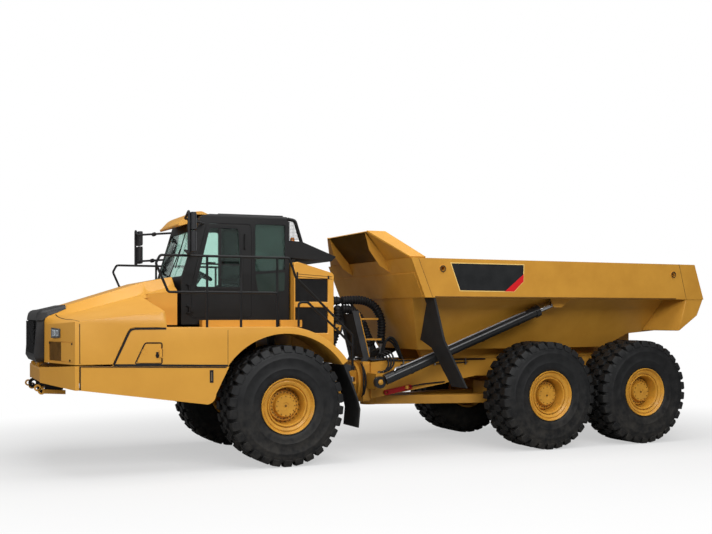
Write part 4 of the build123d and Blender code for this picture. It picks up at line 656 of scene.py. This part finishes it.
# headlights: moulded housing with two white inserts and reflectors under a clear cover
bezel_grey = finish("bezel_grey", (0.075, 0.08, 0.085), (0.055, 0.058, 0.062), 0.35, mottle=9,
                             gloss=0.4)
lamp_white = finish("lamp_white", (0.60, 0.67, 0.72), (0.50, 0.56, 0.60), 0.15, mottle=30,
                             coat=0.5)
lamp_chrome = finish("lamp_chrome", (0.75, 0.76, 0.78), (0.65, 0.66, 0.68), 0.08, spread=0.04,
                              metal=1.0)
housing, blocks, dishes, cover = [bmesh.new() for _ in range(4)]
for hand in (1, -1):
    push = nose_spot(1, 2, 0.034, hand) - nose_spot(1, 2, 0.0003, hand)
    face = prism(housing, [nose_spot(y, z, 0.0003, hand) for y, z in (
        (0.945, 1.915), (1.195, 1.925), (1.195, 2.045), (0.945, 2.06))], push)
    bmesh.ops.inset_region(housing, faces=[face], thickness=0.018, use_even_offset=True)
    bmesh.ops.translate(housing, verts=face.verts, vec=push * -0.72)
    for start, end in ((0.968, 1.050), (1.092, 1.174)):
        prism(blocks, [nose_spot(y, z, 0.009, hand) for y, z in (
            (start, 1.944), (end, 1.948), (end, 2.026), (start, 2.032))], push * 0.33)
        middle = (start + end) / 2
        rod(dishes, nose_spot(middle, 1.986, 0.018, hand), nose_spot(middle, 1.986, 0.026, hand),
            0.018, 24, 0.032)
    prism(cover, [nose_spot(y, z, 0.029, hand) for y, z in (
        (0.964, 1.934), (1.177, 1.943), (1.177, 2.028), (0.964, 2.041))], push * 0.12)
round_edges(make_piece("headlight_housings", housing, bezel_grey, "hood_unit"), 0.004)
round_edges(make_piece("headlight_blocks", blocks, lamp_white, "hood_unit"), 0.003)
make_piece("headlight_reflectors", dishes, lamp_chrome, "hood_unit")
lamp_clear = glass_material("lamp_clear", (0.90, 0.94, 0.98), 0.02, 0.10)
lens = make_piece("headlight_covers", cover, lamp_clear, "hood_unit")
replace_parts(lens, "headlights")

# plates that close the step between the side pods and the hood's rear
form = bmesh.new()
for hand in (1, -1):
    prism(form, [spot(1.900, hand * y, z) for y, z in (
        (0.79, 2.520), (0.79, 2.546), (0.949, 2.539), (0.949, 2.480))], x_way * 0.006)
    prism(form, [spot(x, hand * y, z) for x, y, z in (
        (1.965, 0.788, 2.534), (1.965, 0.970, 2.4775), (1.896, 0.970, 2.4960), (1.896, 0.788, 2.5525))],
        z_way * -0.006)
make_piece("pod_plates", form, yellow_paint, "hood_unit")

# ---------------------------------------------------------------- seams and seals
# Black rubber seals pressed on the edges of the fenders and side panels, and the dark joints of
# the nose; thin strips laid on the sheet metal.
seal_rubber = finish("seal_rubber", (0.008, 0.008, 0.009), (0.014, 0.014, 0.015), 0.6, mottle=8)
sheet_y = 1.66                      # outer side of the fenders, side panels and body rails


def ribbon(form, route, outward, width, height, closed=False):
    """Strip along a route on a surface; outward is one normal, or one for each point."""
    count = len(route)
    sections = []
    for index, point in enumerate(route):
        before = route[index - 1] if index or closed else None
        after = route[(index + 1) % count] if index < count - 1 or closed else None
        runs = [(end - start).normalized() for start, end in ((before, point), (point, after))
                if start and end]
        run = sum(runs, Vector()).normalized()
        way = outward if isinstance(outward, Vector) else outward[index]
        side_way = way.cross(run).normalized() * width / 2 / max(0.4, run.dot(runs[-1]))
        sections.append([form.verts.new(point + a * side_way + b * way)
                         for a, b in ((-1, -0.001), (1, -0.001), (1, height), (-1, height))])
    pairs = list(zip(sections, sections[1:])) + ([(sections[-1], sections[0])] if closed else [])
    for first, second in pairs:
        for index in range(4):
            form.faces.new((first[index], first[(index + 1) % 4], second[(index + 1) % 4], second[index]))
    if not closed:
        form.faces.new(sections[0])
        form.faces.new(sections[-1])


def flank(points, y):
    """Points on the upright plane at y."""
    return [spot(x, y, z) for x, z in points]


def circle(x, z, radius, count):
    """Points round a circle on an upright plane along the truck."""
    return [(x + radius * cos(2 * pi * step / count), z + radius * sin(2 * pi * step / count))
            for step in range(count)]


def strip_round(form, points, y, width, height, cut=0.03, closed=False):
    """Strip on the upright plane at y whose corners have a radius of about cut."""
    route = []
    count = len(points)
    for index, point in enumerate(points):
        here = Vector(point)
        if not closed and index in (0, count - 1):
            route.append(here)
            continue
        back, ahead = Vector(points[index - 1]) - here, Vector(points[(index + 1) % count]) - here
        start = here + back.normalized() * min(cut, back.length / 2.1)
        end = here + ahead.normalized() * min(cut, ahead.length / 2.1)
        for step in range(5):
            share = step / 4
            route.append(start * (1 - share) ** 2 + here * 2 * share * (1 - share) + end * share ** 2)
    ribbon(form, [spot(a, y, b) for a, b in route], y_way * (1 if y > 0 else -1), width, height, closed)


form = bmesh.new()
for y in (sheet_y, -sheet_y):
    strip_round(form, [(0.905, 1.512), (2.522, 1.552), (2.318, 1.992), (2.29, 2.030), (2.235, 2.046),
                       (1.80, 2.047)], y, 0.026, 0.004, 0.02)
    strip_round(form, [(0.908, 1.52), (0.908, 2.02)], y, 0.006, 0.001, 0.01)
    strip_round(form, [(2.97, 1.225), (2.97, 1.538), (0.93, 1.486)], y, 0.014, 0.004, 0.01)
    strip_round(form, [(2.097, 1.852), (1.858, 1.850), (1.858, 1.556), (2.236, 1.563)], y, 0.014, 0.003,
                0.03, True)
make_piece("sheet_seals", form, seal_rubber, "front_unit")

# joint of the nose panel: over the shoulder from the cap's corner, then down the side
form = bmesh.new()
for hand in (1, -1):
    strip_round(form, [(2.975, 1.575), (2.978, 2.118)], hand * sheet_y, 0.010, 0.0015, 0.01)
    hits = [hood_hit(x, hand * y) for x, y in (
        (3.165, 0.67), (3.155, 0.80), (3.13, 0.95), (3.105, 1.10), (3.075, 1.25), (3.04, 1.40),
        (3.01, 1.52), (2.985, 1.62), (2.979, 1.652))]
    ribbon(form, [point for point, _ in hits], [way for _, way in hits], 0.010, 0.002)
make_piece("nose_joints", form, seal_rubber, "hood_unit")

# recessed latches of the side panels
latch_form, bar_form = bmesh.new(), bmesh.new()
for hand in (1, -1):
    prism(latch_form, flank(rectangle(1.122, 1.272, 1.176, 1.452), hand * 1.6602), y_way * hand * 0.0025)
    rod(bar_form, spot(1.149, hand * 1.668, 1.30), spot(1.149, hand * 1.668, 1.425), 0.008, 10)
make_piece("panel_latches", latch_form, seal_rubber, "front_unit")
make_piece("panel_latch_bars", bar_form, lamp_chrome, "front_unit")

# service door: black slam latch and pressed finger dimple
form = bmesh.new()
latch_face = sheet_y + 0.004
rod(form, spot(1.925, sheet_y - 0.002, 1.672), spot(1.925, latch_face, 1.672), 0.026, 20)
beam(form, spot(1.925, latch_face, 1.640), spot(1.925, latch_face, 1.722), x_way, 0.034, 0.012)
round_edges(make_piece("service_latch", form, black_paint, "service_door_unit"), 0.004)
form = bmesh.new()
ribbon(form, [spot(2.105 + 0.036 * cos(0.3 * step), sheet_y, 1.728 + 0.036 * sin(0.3 * step))
              for step in range(21)], y_way, 0.007, 0.004, True)
make_piece("service_dimple", form, yellow_paint, "service_door_unit")

# ---------------------------------------------------------------- tow gear
# Forged steel rings and a bent lever, hung on pins in the tow lugs under the bumper and painted
# with the frame.
form = bmesh.new()
for hand in (1, -1):
    for x, z in ((3.405, 1.197), (3.352, 1.150)):
        ribbon(form, flank(circle(x, z, 0.038, 18), hand * 0.61), y_way * hand, 0.024, 0.026, True)
    beam(form, spot(3.34, hand * 0.62, 1.145), spot(3.02, hand * 0.62, 1.125), z_way, 0.06, 0.03)
round_edges(make_piece("tow_rings", form, rear_paint, "front_unit"), 0.003)

# ---------------------------------------------------------------- cab trim
# Rubber window and door seals, aluminium window dividers, darkened lower panes, wiper, mirror
# faces and the amber lamp behind the roof; glued, clipped or screwed to the cab.
cab_y = 0.85                        # outer side of the cab
form = bmesh.new()
strip_round(form, [(1.252, 2.188), (1.227, 2.735), (1.000, 3.622), (0.290, 3.632), (0.273, 2.188)],
            cab_y, 0.014, 0.003, 0.075, True)
for y in (cab_y, -cab_y):
    strip_round(form, [(0.243, 2.888), (0.243, 3.638), (-0.268, 3.643), (-0.262, 2.926)], y, 0.022, 0.006,
                0.05, True)
    strip_round(form, [(0.240, 2.868), (-0.262, 2.908), (-0.250, 2.60), (0.190, 2.58)], y, 0.012, 0.004,
                0.05, True)
strip_round(form, [(1.20, 2.628), (0.992, 3.612), (0.318, 3.632), (0.318, 2.628)], -cab_y, 0.022, 0.006,
            0.05, True)
make_piece("cab_seals", form, seal_rubber, "front_unit")
form = bmesh.new()
strip_round(form, [(1.186, 2.644), (0.964, 3.559), (0.490, 3.569), (0.441, 2.644)], cab_y, 0.034, 0.007,
            0.07, True)
make_piece("door_window_seal", form, seal_rubber, "cab_door_unit")
form = bmesh.new()
beam(form, spot(0.79, 0.841, 2.665), spot(0.79, 0.841, 3.548), x_way, 0.045, 0.007)
beam(form, spot(1.09, 0.842, 3.005), spot(0.47, 0.842, 3.0), z_way, 0.024, 0.008)
beam(form, spot(1.00, 0.845, 3.018), spot(0.86, 0.845, 3.018), z_way, 0.030, 0.014)
make_piece("door_window_dividers", form, black_paint, "cab_door_unit")

dark_pane = finish("dark_pane", (0.020, 0.032, 0.028), (0.028, 0.042, 0.037), 0.08, spread=0.05,
                            mottle=3, bump=0.0, coat=0.6)
# the film inside the upper rear side panes is painted shade and reflection
pane_form, film_form = bmesh.new(), bmesh.new()
for hand in (1, -1):
    prism(pane_form, flank([(0.232, 2.862), (-0.254, 2.90), (-0.243, 2.608), (0.185, 2.588)], hand * cab_y),
          y_way * hand * 0.003)
    prism(film_form, flank([(0.262, 2.86), (0.262, 3.655), (-0.285, 3.66), (-0.285, 2.88)], hand * 0.798),
          y_way * hand * -0.001)
make_piece("cab_lower_panes", pane_form, dark_pane, "front_unit")
make_piece("shade_films", film_form, painted_shade_film, "front_unit")


def screen_spot(y, rise, out):
    """Point in front of the leaning windscreen."""
    return spot(1.385 - 0.285 * rise + 0.957 * out, y, 2.745 + 0.945 * rise + 0.289 * out)


# windscreen wiper, and grab rail along the roof's edge
form = bmesh.new()
rod(form, screen_spot(0.10, 0.06, 0.0), screen_spot(0.10, 0.06, 0.035), 0.022, 12)
rod(form, screen_spot(0.10, 0.06, 0.028), screen_spot(0.28, 0.52, 0.024), 0.008, 8)
rod(form, screen_spot(0.29, 0.22, 0.016), screen_spot(0.27, 0.80, 0.016), 0.009, 6)
for y in (0.78, -0.78):
    rod(form, spot(0.80, y, 3.765), spot(-0.24, y, 3.772), 0.012, 10)
make_piece("wiper_and_roof_rails", form, black_paint, "front_unit")

form = bmesh.new()
for hand in (1, -1):
    for low_z, high_z in ((3.135, 3.395), (3.445, 3.655)):
        prism(form, [spot(1.428, hand * 1.763 + a, z) for a, z in rectangle(-0.112, low_z, 0.112, high_z)],
              x_way * -0.003)
mirror_silver = finish("mirror_silver", (0.82, 0.83, 0.85), (0.78, 0.79, 0.81), 0.03, spread=0.02,
                                metal=1.0, bump=0.0)
make_piece("mirror_faces", form, mirror_silver, "front_unit")

# amber lamp on its foot, joints of the mirror arms, and the mesh and ribs of the rear guard
amber = finish("amber_lamp", (0.75, 0.22, 0.01), (0.65, 0.18, 0.01), 0.2, mottle=30, coat=0.5)
form, lamp_form = bmesh.new(), bmesh.new()
for hand in (1, -1):
    for x, y, z in ((1.30, 1.35, 3.60), (1.345, 1.28, 3.15)):
        rod(form, spot(x, hand * (y - 0.05), z), spot(x, hand * (y + 0.05), z), 0.034, 12)
rod(lamp_form, spot(-0.46, 0.62, 3.393), spot(-0.46, 0.62, 3.462), 0.040, 18, 0.030)
make_piece("amber_lamp", lamp_form, amber, "front_unit")
rod(form, spot(-0.46, 0.62, 3.375), spot(-0.46, 0.62, 3.394), 0.050, 18)
for y in (0.760, -0.760):
    wire_mesh(form, lambda x, z: spot(x, y, z),
              [(-0.34, 3.41), (-0.34, 3.70), (-0.43, 3.69), (-0.53, 3.50), (-0.55, 3.41)], 0.022, 0.004)
for y in (-0.5, -0.25, 0, 0.25, 0.5):
    beam(form, spot(-0.62, y, 3.366), spot(-1.10, y, 3.182), y_way, 0.03, 0.012)
make_piece("guard_mesh_and_ribs", form, black_paint, "front_unit")

# ---------------------------------------------------------------- radiator module
# Yellow welded frame with black wire mesh in its bays, two black strips under the cap that paint the shade
# of its pressed grooves, and rubber toggles that hold the cap down.
form, groove_shade_and_toggle_form, corner_form = bmesh.new(), bmesh.new(), bmesh.new()
for hand in (1, -1):
    for low_z, high_z in ((2.44, 2.80), (1.953, 2.357)):
        bay = rectangle(-0.915, low_z, -0.370, high_z)
        prism(form, flank(bay, hand * 0.9703), y_way * hand * 0.003)
        wire_mesh(form, lambda x, z: spot(x, hand * 0.980, z), bay, 0.020, 0.006)
    # black strips along the pressed grooves: painted shade
    for z in (2.862, 2.825):
        ribbon(groove_shade_and_toggle_form, flank([(-0.352, z + 0.012), (-0.99, z - 0.028)], hand), y_way * hand, 0.007,
               0.0015)
    for x, z in ((-0.40, 2.90), (-0.92, 2.85)):
        beam(groove_shade_and_toggle_form, spot(x, hand * 1.004, z), spot(x, hand * 1.004, 2.80), x_way, 0.024, 0.012)
    prism(corner_form, flank([(-0.37, 1.953), (-0.37, 2.13), (-0.50, 1.953)], hand * 0.982),
          y_way * hand * 0.018)
make_piece("module_screens", form, screen_black, "front_unit")
make_piece("module_groove_shade_and_toggles", groove_shade_and_toggle_form, seal_rubber, "front_unit")
make_piece("module_corners", corner_form, yellow_paint, "front_unit")

# ---------------------------------------------------------------- hoses over the hitch
# Corrugated rubber sleeves over the bundled lines, split at the steering axis, with a bolted
# clamp on the riser; below the sleeves steel pipes stand on the shelf and thin hoses fan out.
hose_rubber = finish("hose_rubber", (0.010, 0.010, 0.011), (0.018, 0.018, 0.019), 0.45, mottle=12,
                              grain=300, bump=0.05)
shelf_z = 1.4953                    # top of the rear frame's shelf, just under the pipes' ends


def rounded(points, rounds=3, share=0.25):
    """Route whose corners are cut again and again until they are round."""
    for _ in range(rounds):
        cut = [point for first, second in zip(points, points[1:])
               for point in (first.lerp(second, share), first.lerp(second, 1 - share))]
        points = [points[0]] + cut[1:-1] + [points[-1]]
    return points


def evenly(points, step):
    """The same route with points a step apart."""
    run = [points[0]]
    spare = 0.0
    for first, second in zip(points, points[1:]):
        length = (second - first).length
        along = step - spare
        while along < length:
            run.append(first.lerp(second, along / length))
            along += step
        spare = length - (along - step)
    return run + [points[-1]]


def swept(form, route, radius, segments=14):
    """Round bar through a route; radius is a number, or a function of the point's index."""
    side_way = (route[1] - route[0]).orthogonal()
    rings = []
    for index, point in enumerate(route):
        run = (route[min(index + 1, len(route) - 1)] - route[max(index - 1, 0)]).normalized()
        side_way = (side_way - run * side_way.dot(run)).normalized()
        up_way = run.cross(side_way)
        reach = radius(index) if callable(radius) else radius
        rings.append([form.verts.new(point + reach * (cos(2 * pi * step / segments) * side_way
                                                      + sin(2 * pi * step / segments) * up_way))
                      for step in range(segments)])
    for first, second in zip(rings, rings[1:]):
        for step in range(segments):
            ahead = (step + 1) % segments
            form.faces.new((first[step], first[ahead], second[ahead], second[step]))
    form.faces.new(rings[0])
    form.faces.new(rings[-1])


def hose(form, points, radius, step=0.03, segments=10, rounds=3):
    """Smooth hose through points given from the ground under the front axle."""
    swept(form, evenly(rounded([spot(*point) for point in points], rounds), step), radius, segments)


def corrugated(form, points):
    """Ribbed sleeve along a rounded route in the truck's middle plane."""
    hose(form, [(x, 0, z) for x, z in points], lambda index: (0.062, 0.075, 0.0765, 0.063)[index % 4],
         0.0125, 18)


rear_form, front_form, steel_form, front_steel = [bmesh.new() for _ in range(4)]
corrugated(rear_form, ((-1.5745, 2.475), (-1.93, 2.500), (-2.156, 2.42), (-2.287, 2.254), (-2.330, 2.068),
                       (-2.315, 1.90), (-2.315, 1.745)))
corrugated(rear_form, ((-1.5745, 2.335), (-1.75, 2.335), (-1.93, 2.18), (-2.03, 1.95), (-2.07, 1.80),
                       (-2.07, 1.70)))
corrugated(front_form, ((-1.0145, 2.43), (-1.15, 2.43), (-1.33, 2.475), (-1.49, 2.475)))
corrugated(front_form, ((-1.30, 1.55), (-1.33, 1.62), (-1.44, 1.84), (-1.50, 2.08), (-1.50, 2.32)))
for z in (2.475, 2.335):
    bmesh.ops.create_uvsphere(front_form, u_segments=20, v_segments=12, radius=0.068,
                              matrix=Matrix.Translation(spot(-1.5, 0, z)))
for y in (-0.026, 0.026):
    for pipe_form, x, low_z, high_z, radius, segments in (
            (steel_form, -2.315, shelf_z, 1.76, 0.020, 14), (steel_form, -2.315, 1.56, 1.60, 0.029, 6),
            (steel_form, -2.315, 1.66, 1.685, 0.027, 6), (steel_form, -2.07, shelf_z, 1.715, 0.020, 14),
            (steel_form, -2.07, 1.56, 1.60, 0.029, 6), (steel_form, -2.07, 1.66, 1.685, 0.027, 6),
            (front_steel, -1.30, 1.3863, 1.56, 0.020, 14), (front_steel, -1.30, 1.42, 1.46, 0.029, 6)):
        rod(pipe_form, spot(x, y, low_z), spot(x, y, high_z), radius, segments)
rear_sleeves = make_piece("rear_hose_sleeves", rear_form, hose_rubber, "rear_unit")
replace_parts(rear_sleeves, "rear_hoses")
front_sleeves = make_piece("front_hose_sleeves", front_form, hose_rubber, "front_unit")
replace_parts(front_sleeves, "front_hoses")
zinc_steel = finish("zinc_steel", (0.55, 0.56, 0.58), (0.42, 0.43, 0.45), 0.28, metal=1.0,
                             mottle=25)
make_piece("rear_hose_pipes", steel_form, zinc_steel, "rear_unit")
make_piece("front_hose_pipes", front_steel, zinc_steel, "front_unit")

# clamp on the riser, its plate and its bolt
axis = Vector((-0.06, 0, 0.24)).normalized()
heart = spot(-1.487, 0, 2.02)
face_x = heart + x_way * 0.03
form = bmesh.new()
rod(form, heart - 0.07 * axis, heart + 0.07 * axis, 0.094, 8)
beam(form, heart + y_way * 0.06, heart + y_way * 0.115, axis, 0.13, 0.12)
make_piece("hose_clamp", form, grille_grey, "front_unit")
form = bmesh.new()
beam(form, face_x + y_way * 0.112, face_x + y_way * 0.124, axis, 0.11, 0.10)
make_piece("hose_clamp_plate", form, yellow_paint, "front_unit")
form = bmesh.new()
rod(form, face_x + y_way * 0.12, face_x + y_way * 0.134, 0.017, 6)
make_piece("hose_clamp_bolt", form, black_paint, "front_unit")

# guide behind the hoses: grey leaning plate with yellow edge rods, straps and rungs
guide_grey = finish("guide_grey", (0.035, 0.037, 0.040), (0.05, 0.052, 0.055), 0.5, mottle=4)
refined("hose_guide", guide_grey, "rear_unit", 0.003)
form = bmesh.new()
for hand in (1, -1):
    rod(form, spot(-1.955, hand * 0.29, 1.53), spot(-1.768, hand * 0.29, 2.27), 0.013, 10)
    for start_x, end_x, z in ((-1.79, -2.115, 2.169), (-1.88, -2.175, 1.826)):
        beam(form, spot(start_x, hand * 0.302, z), spot(end_x, hand * 0.302, z), z_way, 0.030, 0.005)
for x, z in ((-2.10, 2.169), (-2.16, 1.826)):
    rod(form, spot(x, -0.279, z), spot(x, 0.279, z), 0.0145, 12)
make_piece("hose_guide_rods", form, rear_paint, "rear_unit")

# thin lines: loops on the shelf, hoses over the frame's shoulder to the hoist feet, loops beside
# the hitch and lines clipped along the frame
form, fitting_form = bmesh.new(), bmesh.new()
for y, reach in ((0.10, 0.0), (0.15, 0.03), (0.20, 0.055)):
    hose(form, [(-2.26, y, shelf_z), (-2.28, y, 1.70 + reach), (-2.37, y + 0.03, 1.83 + reach),
                (-2.47, y + 0.08, 1.74 + reach), (-2.53, y + 0.12, 1.57), (-2.56, y + 0.14, 1.49)], 0.016)
for hand in (1, -1):
    for shift in (0, 0.05, 0.10):
        half = shift / 2
        hose(form, [(-2.05 - shift, hand * 0.36, 1.497), (-2.07 - shift, hand * 0.40, 1.60 + half),
                    (-2.16 - shift, hand * 0.53, 1.57 + half), (-2.16 - shift, hand * 0.64, 1.42),
                    (-2.06 - half, hand * 0.69, 1.31), (-1.96 - half, hand * 0.70, 1.30)], 0.015, 0.025)
        rod(fitting_form, spot(-2.05 - shift, hand * 0.36, 1.4955),
            spot(-2.052 - shift, hand * 0.363, 1.545), 0.021, 6)
        rod(fitting_form, spot(-1.975 - half, hand * 0.70, 1.30), spot(-1.92 - half, hand * 0.70, 1.298),
            0.019, 6)
    for shift in (0, 0.035):
        hose(form, [(-1.80, hand * 0.30, 1.435), (-1.79, hand * (0.40 + shift), 1.36),
                    (-1.78 - shift, hand * (0.45 + shift), 1.15), (-1.79, hand * (0.42 + shift), 0.95),
                    (-1.81, hand * 0.30, 0.84)], 0.015)
    for stations, z, end_z, radius in (((-2.20, -3.2, -4.10), 1.47, 1.47, 0.012),
                                       ((-2.45, -3.1, -3.75), 1.40, 1.42, 0.010)):
        swept(form, flank(zip(stations, (z, z, end_z)), hand * 0.475), radius, 8)
    for x in (-2.5, -3.1, -3.7):
        beam(fitting_form, spot(x, hand * 0.462, 1.435), spot(x, hand * 0.492, 1.435), z_way, 0.11, 0.02)
make_piece("thin_hoses", form, hose_rubber, "rear_unit")
make_piece("hose_fittings", fitting_form, zinc_steel, "rear_unit")

# hard lines clipped along the hoist barrels
for name, hand in (("left", 1), ("right", -1)):
    foot, eye = spot(-1.86, hand * 0.9, 1.15), spot(-4.95, hand * 1.30, 2.43)
    run = (eye - foot).normalized()
    up_way = (z_way - run * run.z).normalized()
    out_way = run.cross(up_way) * (1 if run.cross(up_way).y * hand > 0 else -1)
    form, band_form = bmesh.new(), bmesh.new()
    for lean, start, end in ((0.55, 0.42, 2.75), (-0.45, 0.42, 0.95)):
        way = (up_way * cos(lean) + out_way * sin(lean) * (1 if lean > 0 else -1)).normalized()
        base = foot + run * start + way * 0.106
        route = [foot + run * (start - 0.14) + way * 0.095 + out_way * 0.03, base - run * 0.10 + way * 0.03,
                 base, foot + run * end + way * 0.106, foot + run * (end + 0.05) + way * 0.090]
        swept(form, rounded(route, 2), 0.013, 10)
    for along in (0.55, 1.2, 1.9, 2.6):
        rod(band_form, foot + run * along, foot + run * (along + 0.03), 0.098, 24)
    make_piece(f"{name}_hoist_line", form, zinc_steel, f"{name}_hoist_barrel_unit")
    make_piece(f"{name}_hoist_bands", band_form, gloss_black, f"{name}_hoist_barrel_unit")

# lock link's tag and cable
form = bmesh.new()
beam(form, spot(-2.52, 0.522, 1.018), spot(-2.56, 0.522, 1.026), z_way, 0.05, 0.052)
make_piece("lock_tag", form, yellow_paint, "rear_unit")
form = bmesh.new()
hose(form, [(-2.64, 0.50, 1.035), (-2.80, 0.51, 1.06), (-3.0, 0.475, 1.075), (-3.3, 0.46, 1.09)],
     0.012, 0.04, 8, 2)
make_piece("lock_cable", form, hose_rubber, "rear_unit")

# ---------------------------------------------------------------- dump body trim
# Blank black side plates with a red corner and a pale edge, a dark strip under each rail that is
# painted shade, a welded apron over the upper front wall and dark joints at the tail.
plate_black = finish("plate_black", (0.012, 0.013, 0.014), (0.018, 0.019, 0.020), 0.35, mottle=5,
                              coat=0.2)
plate_red = finish("plate_red", (0.62, 0.012, 0.016), (0.55, 0.010, 0.014), 0.35, mottle=5,
                            coat=0.2)
pale_edge = finish("plate_edge", (0.80, 0.55, 0.18), (0.74, 0.50, 0.16), 0.4, mottle=5)
plate = [(-2.741, 3.061), (-4.113, 3.059), (-4.105, 2.785), (-3.922, 2.615), (-2.91, 2.62)]
black_form, red_form, edge_form, rail_shade_form = [bmesh.new() for _ in range(4)]
joint_form, tail_form, apron_form = [bmesh.new() for _ in range(3)]
for hand in (1, -1):
    out = y_way * hand
    prism(black_form, flank(plate, hand * 1.6601), out * 0.0015)
    prism(red_form, flank([(-4.110, 2.905), (-4.105, 2.785), (-3.922, 2.615), (-3.744, 2.6155)],
                          hand * 1.6616), out * 0.0008)
    ribbon(edge_form, flank(plate, hand * 1.6602), out, 0.014, 0.0018, True)
    # dark strip under the rail: painted shade of the rail's overhang
    beam(rail_shade_form, spot(-2.46, hand * 1.664, 2.522), spot(-7.30, hand * 1.664, 2.522), z_way, 0.020, 0.008)
    ribbon(joint_form, flank([(-2.158, 3.125), (-2.408, 2.515)], hand * 1.6802), out, 0.005, 0.0008)
    ribbon(joint_form, flank([(-7.37, 3.128), (-7.535, 2.515)], hand * 1.6602), out, 0.006, 0.0012)
    for x, z in ((-2.598, 2.966), (-7.236, 2.946)):
        ribbon(joint_form, flank(circle(x, z, 0.046, 20), hand * 1.6722), out, 0.014, 0.002, True)
    # box-section corner that widens the chute under the rail at the tail
    corners = [tail_form.verts.new(spot(x, hand * y, z)) for x, y, z in (
        (-7.54, 1.652, 2.517), (-7.925, 1.652, 2.517), (-7.79, 1.652, 2.225), (-7.385, 1.652, 1.955),
        (-7.40, 1.235, 2.517), (-7.143, 0.93, 1.955), (-7.47, 0.935, 1.965), (-7.88, 1.24, 2.510))]
    bmesh.ops.convex_hull(tail_form, input=corners)


def wall_spot(y, z, out):
    """Point in front of the body's leaning front wall."""
    return spot(-2.03 - (3.13 - z) * 0.59 / 1.47 + out * 0.928, y, z - out * 0.373)


prism(apron_form, [wall_spot(y, z, 0.0002) for y, z in rectangle(-1.62, 2.515, 1.62, 2.90)],
      wall_spot(0, 2, 0.014) - wall_spot(0, 2, 0))
round_edges(make_piece("tail_corners", tail_form, rear_paint, "dump_unit", 10), 0.010)
make_piece("side_plates", black_form, plate_black, "dump_unit")
make_piece("side_plate_corners", red_form, plate_red, "dump_unit")
make_piece("side_plate_edges", edge_form, pale_edge, "dump_unit")
# the strips under the rails are painted shade
round_edges(make_piece("rail_shade_strips", rail_shade_form, bolt_and_shade_brown, "dump_unit"), 0.003)
make_piece("body_joints", joint_form, seal_rubber, "dump_unit")
round_edges(make_piece("front_apron", apron_form, rear_paint, "dump_unit"), 0.004)
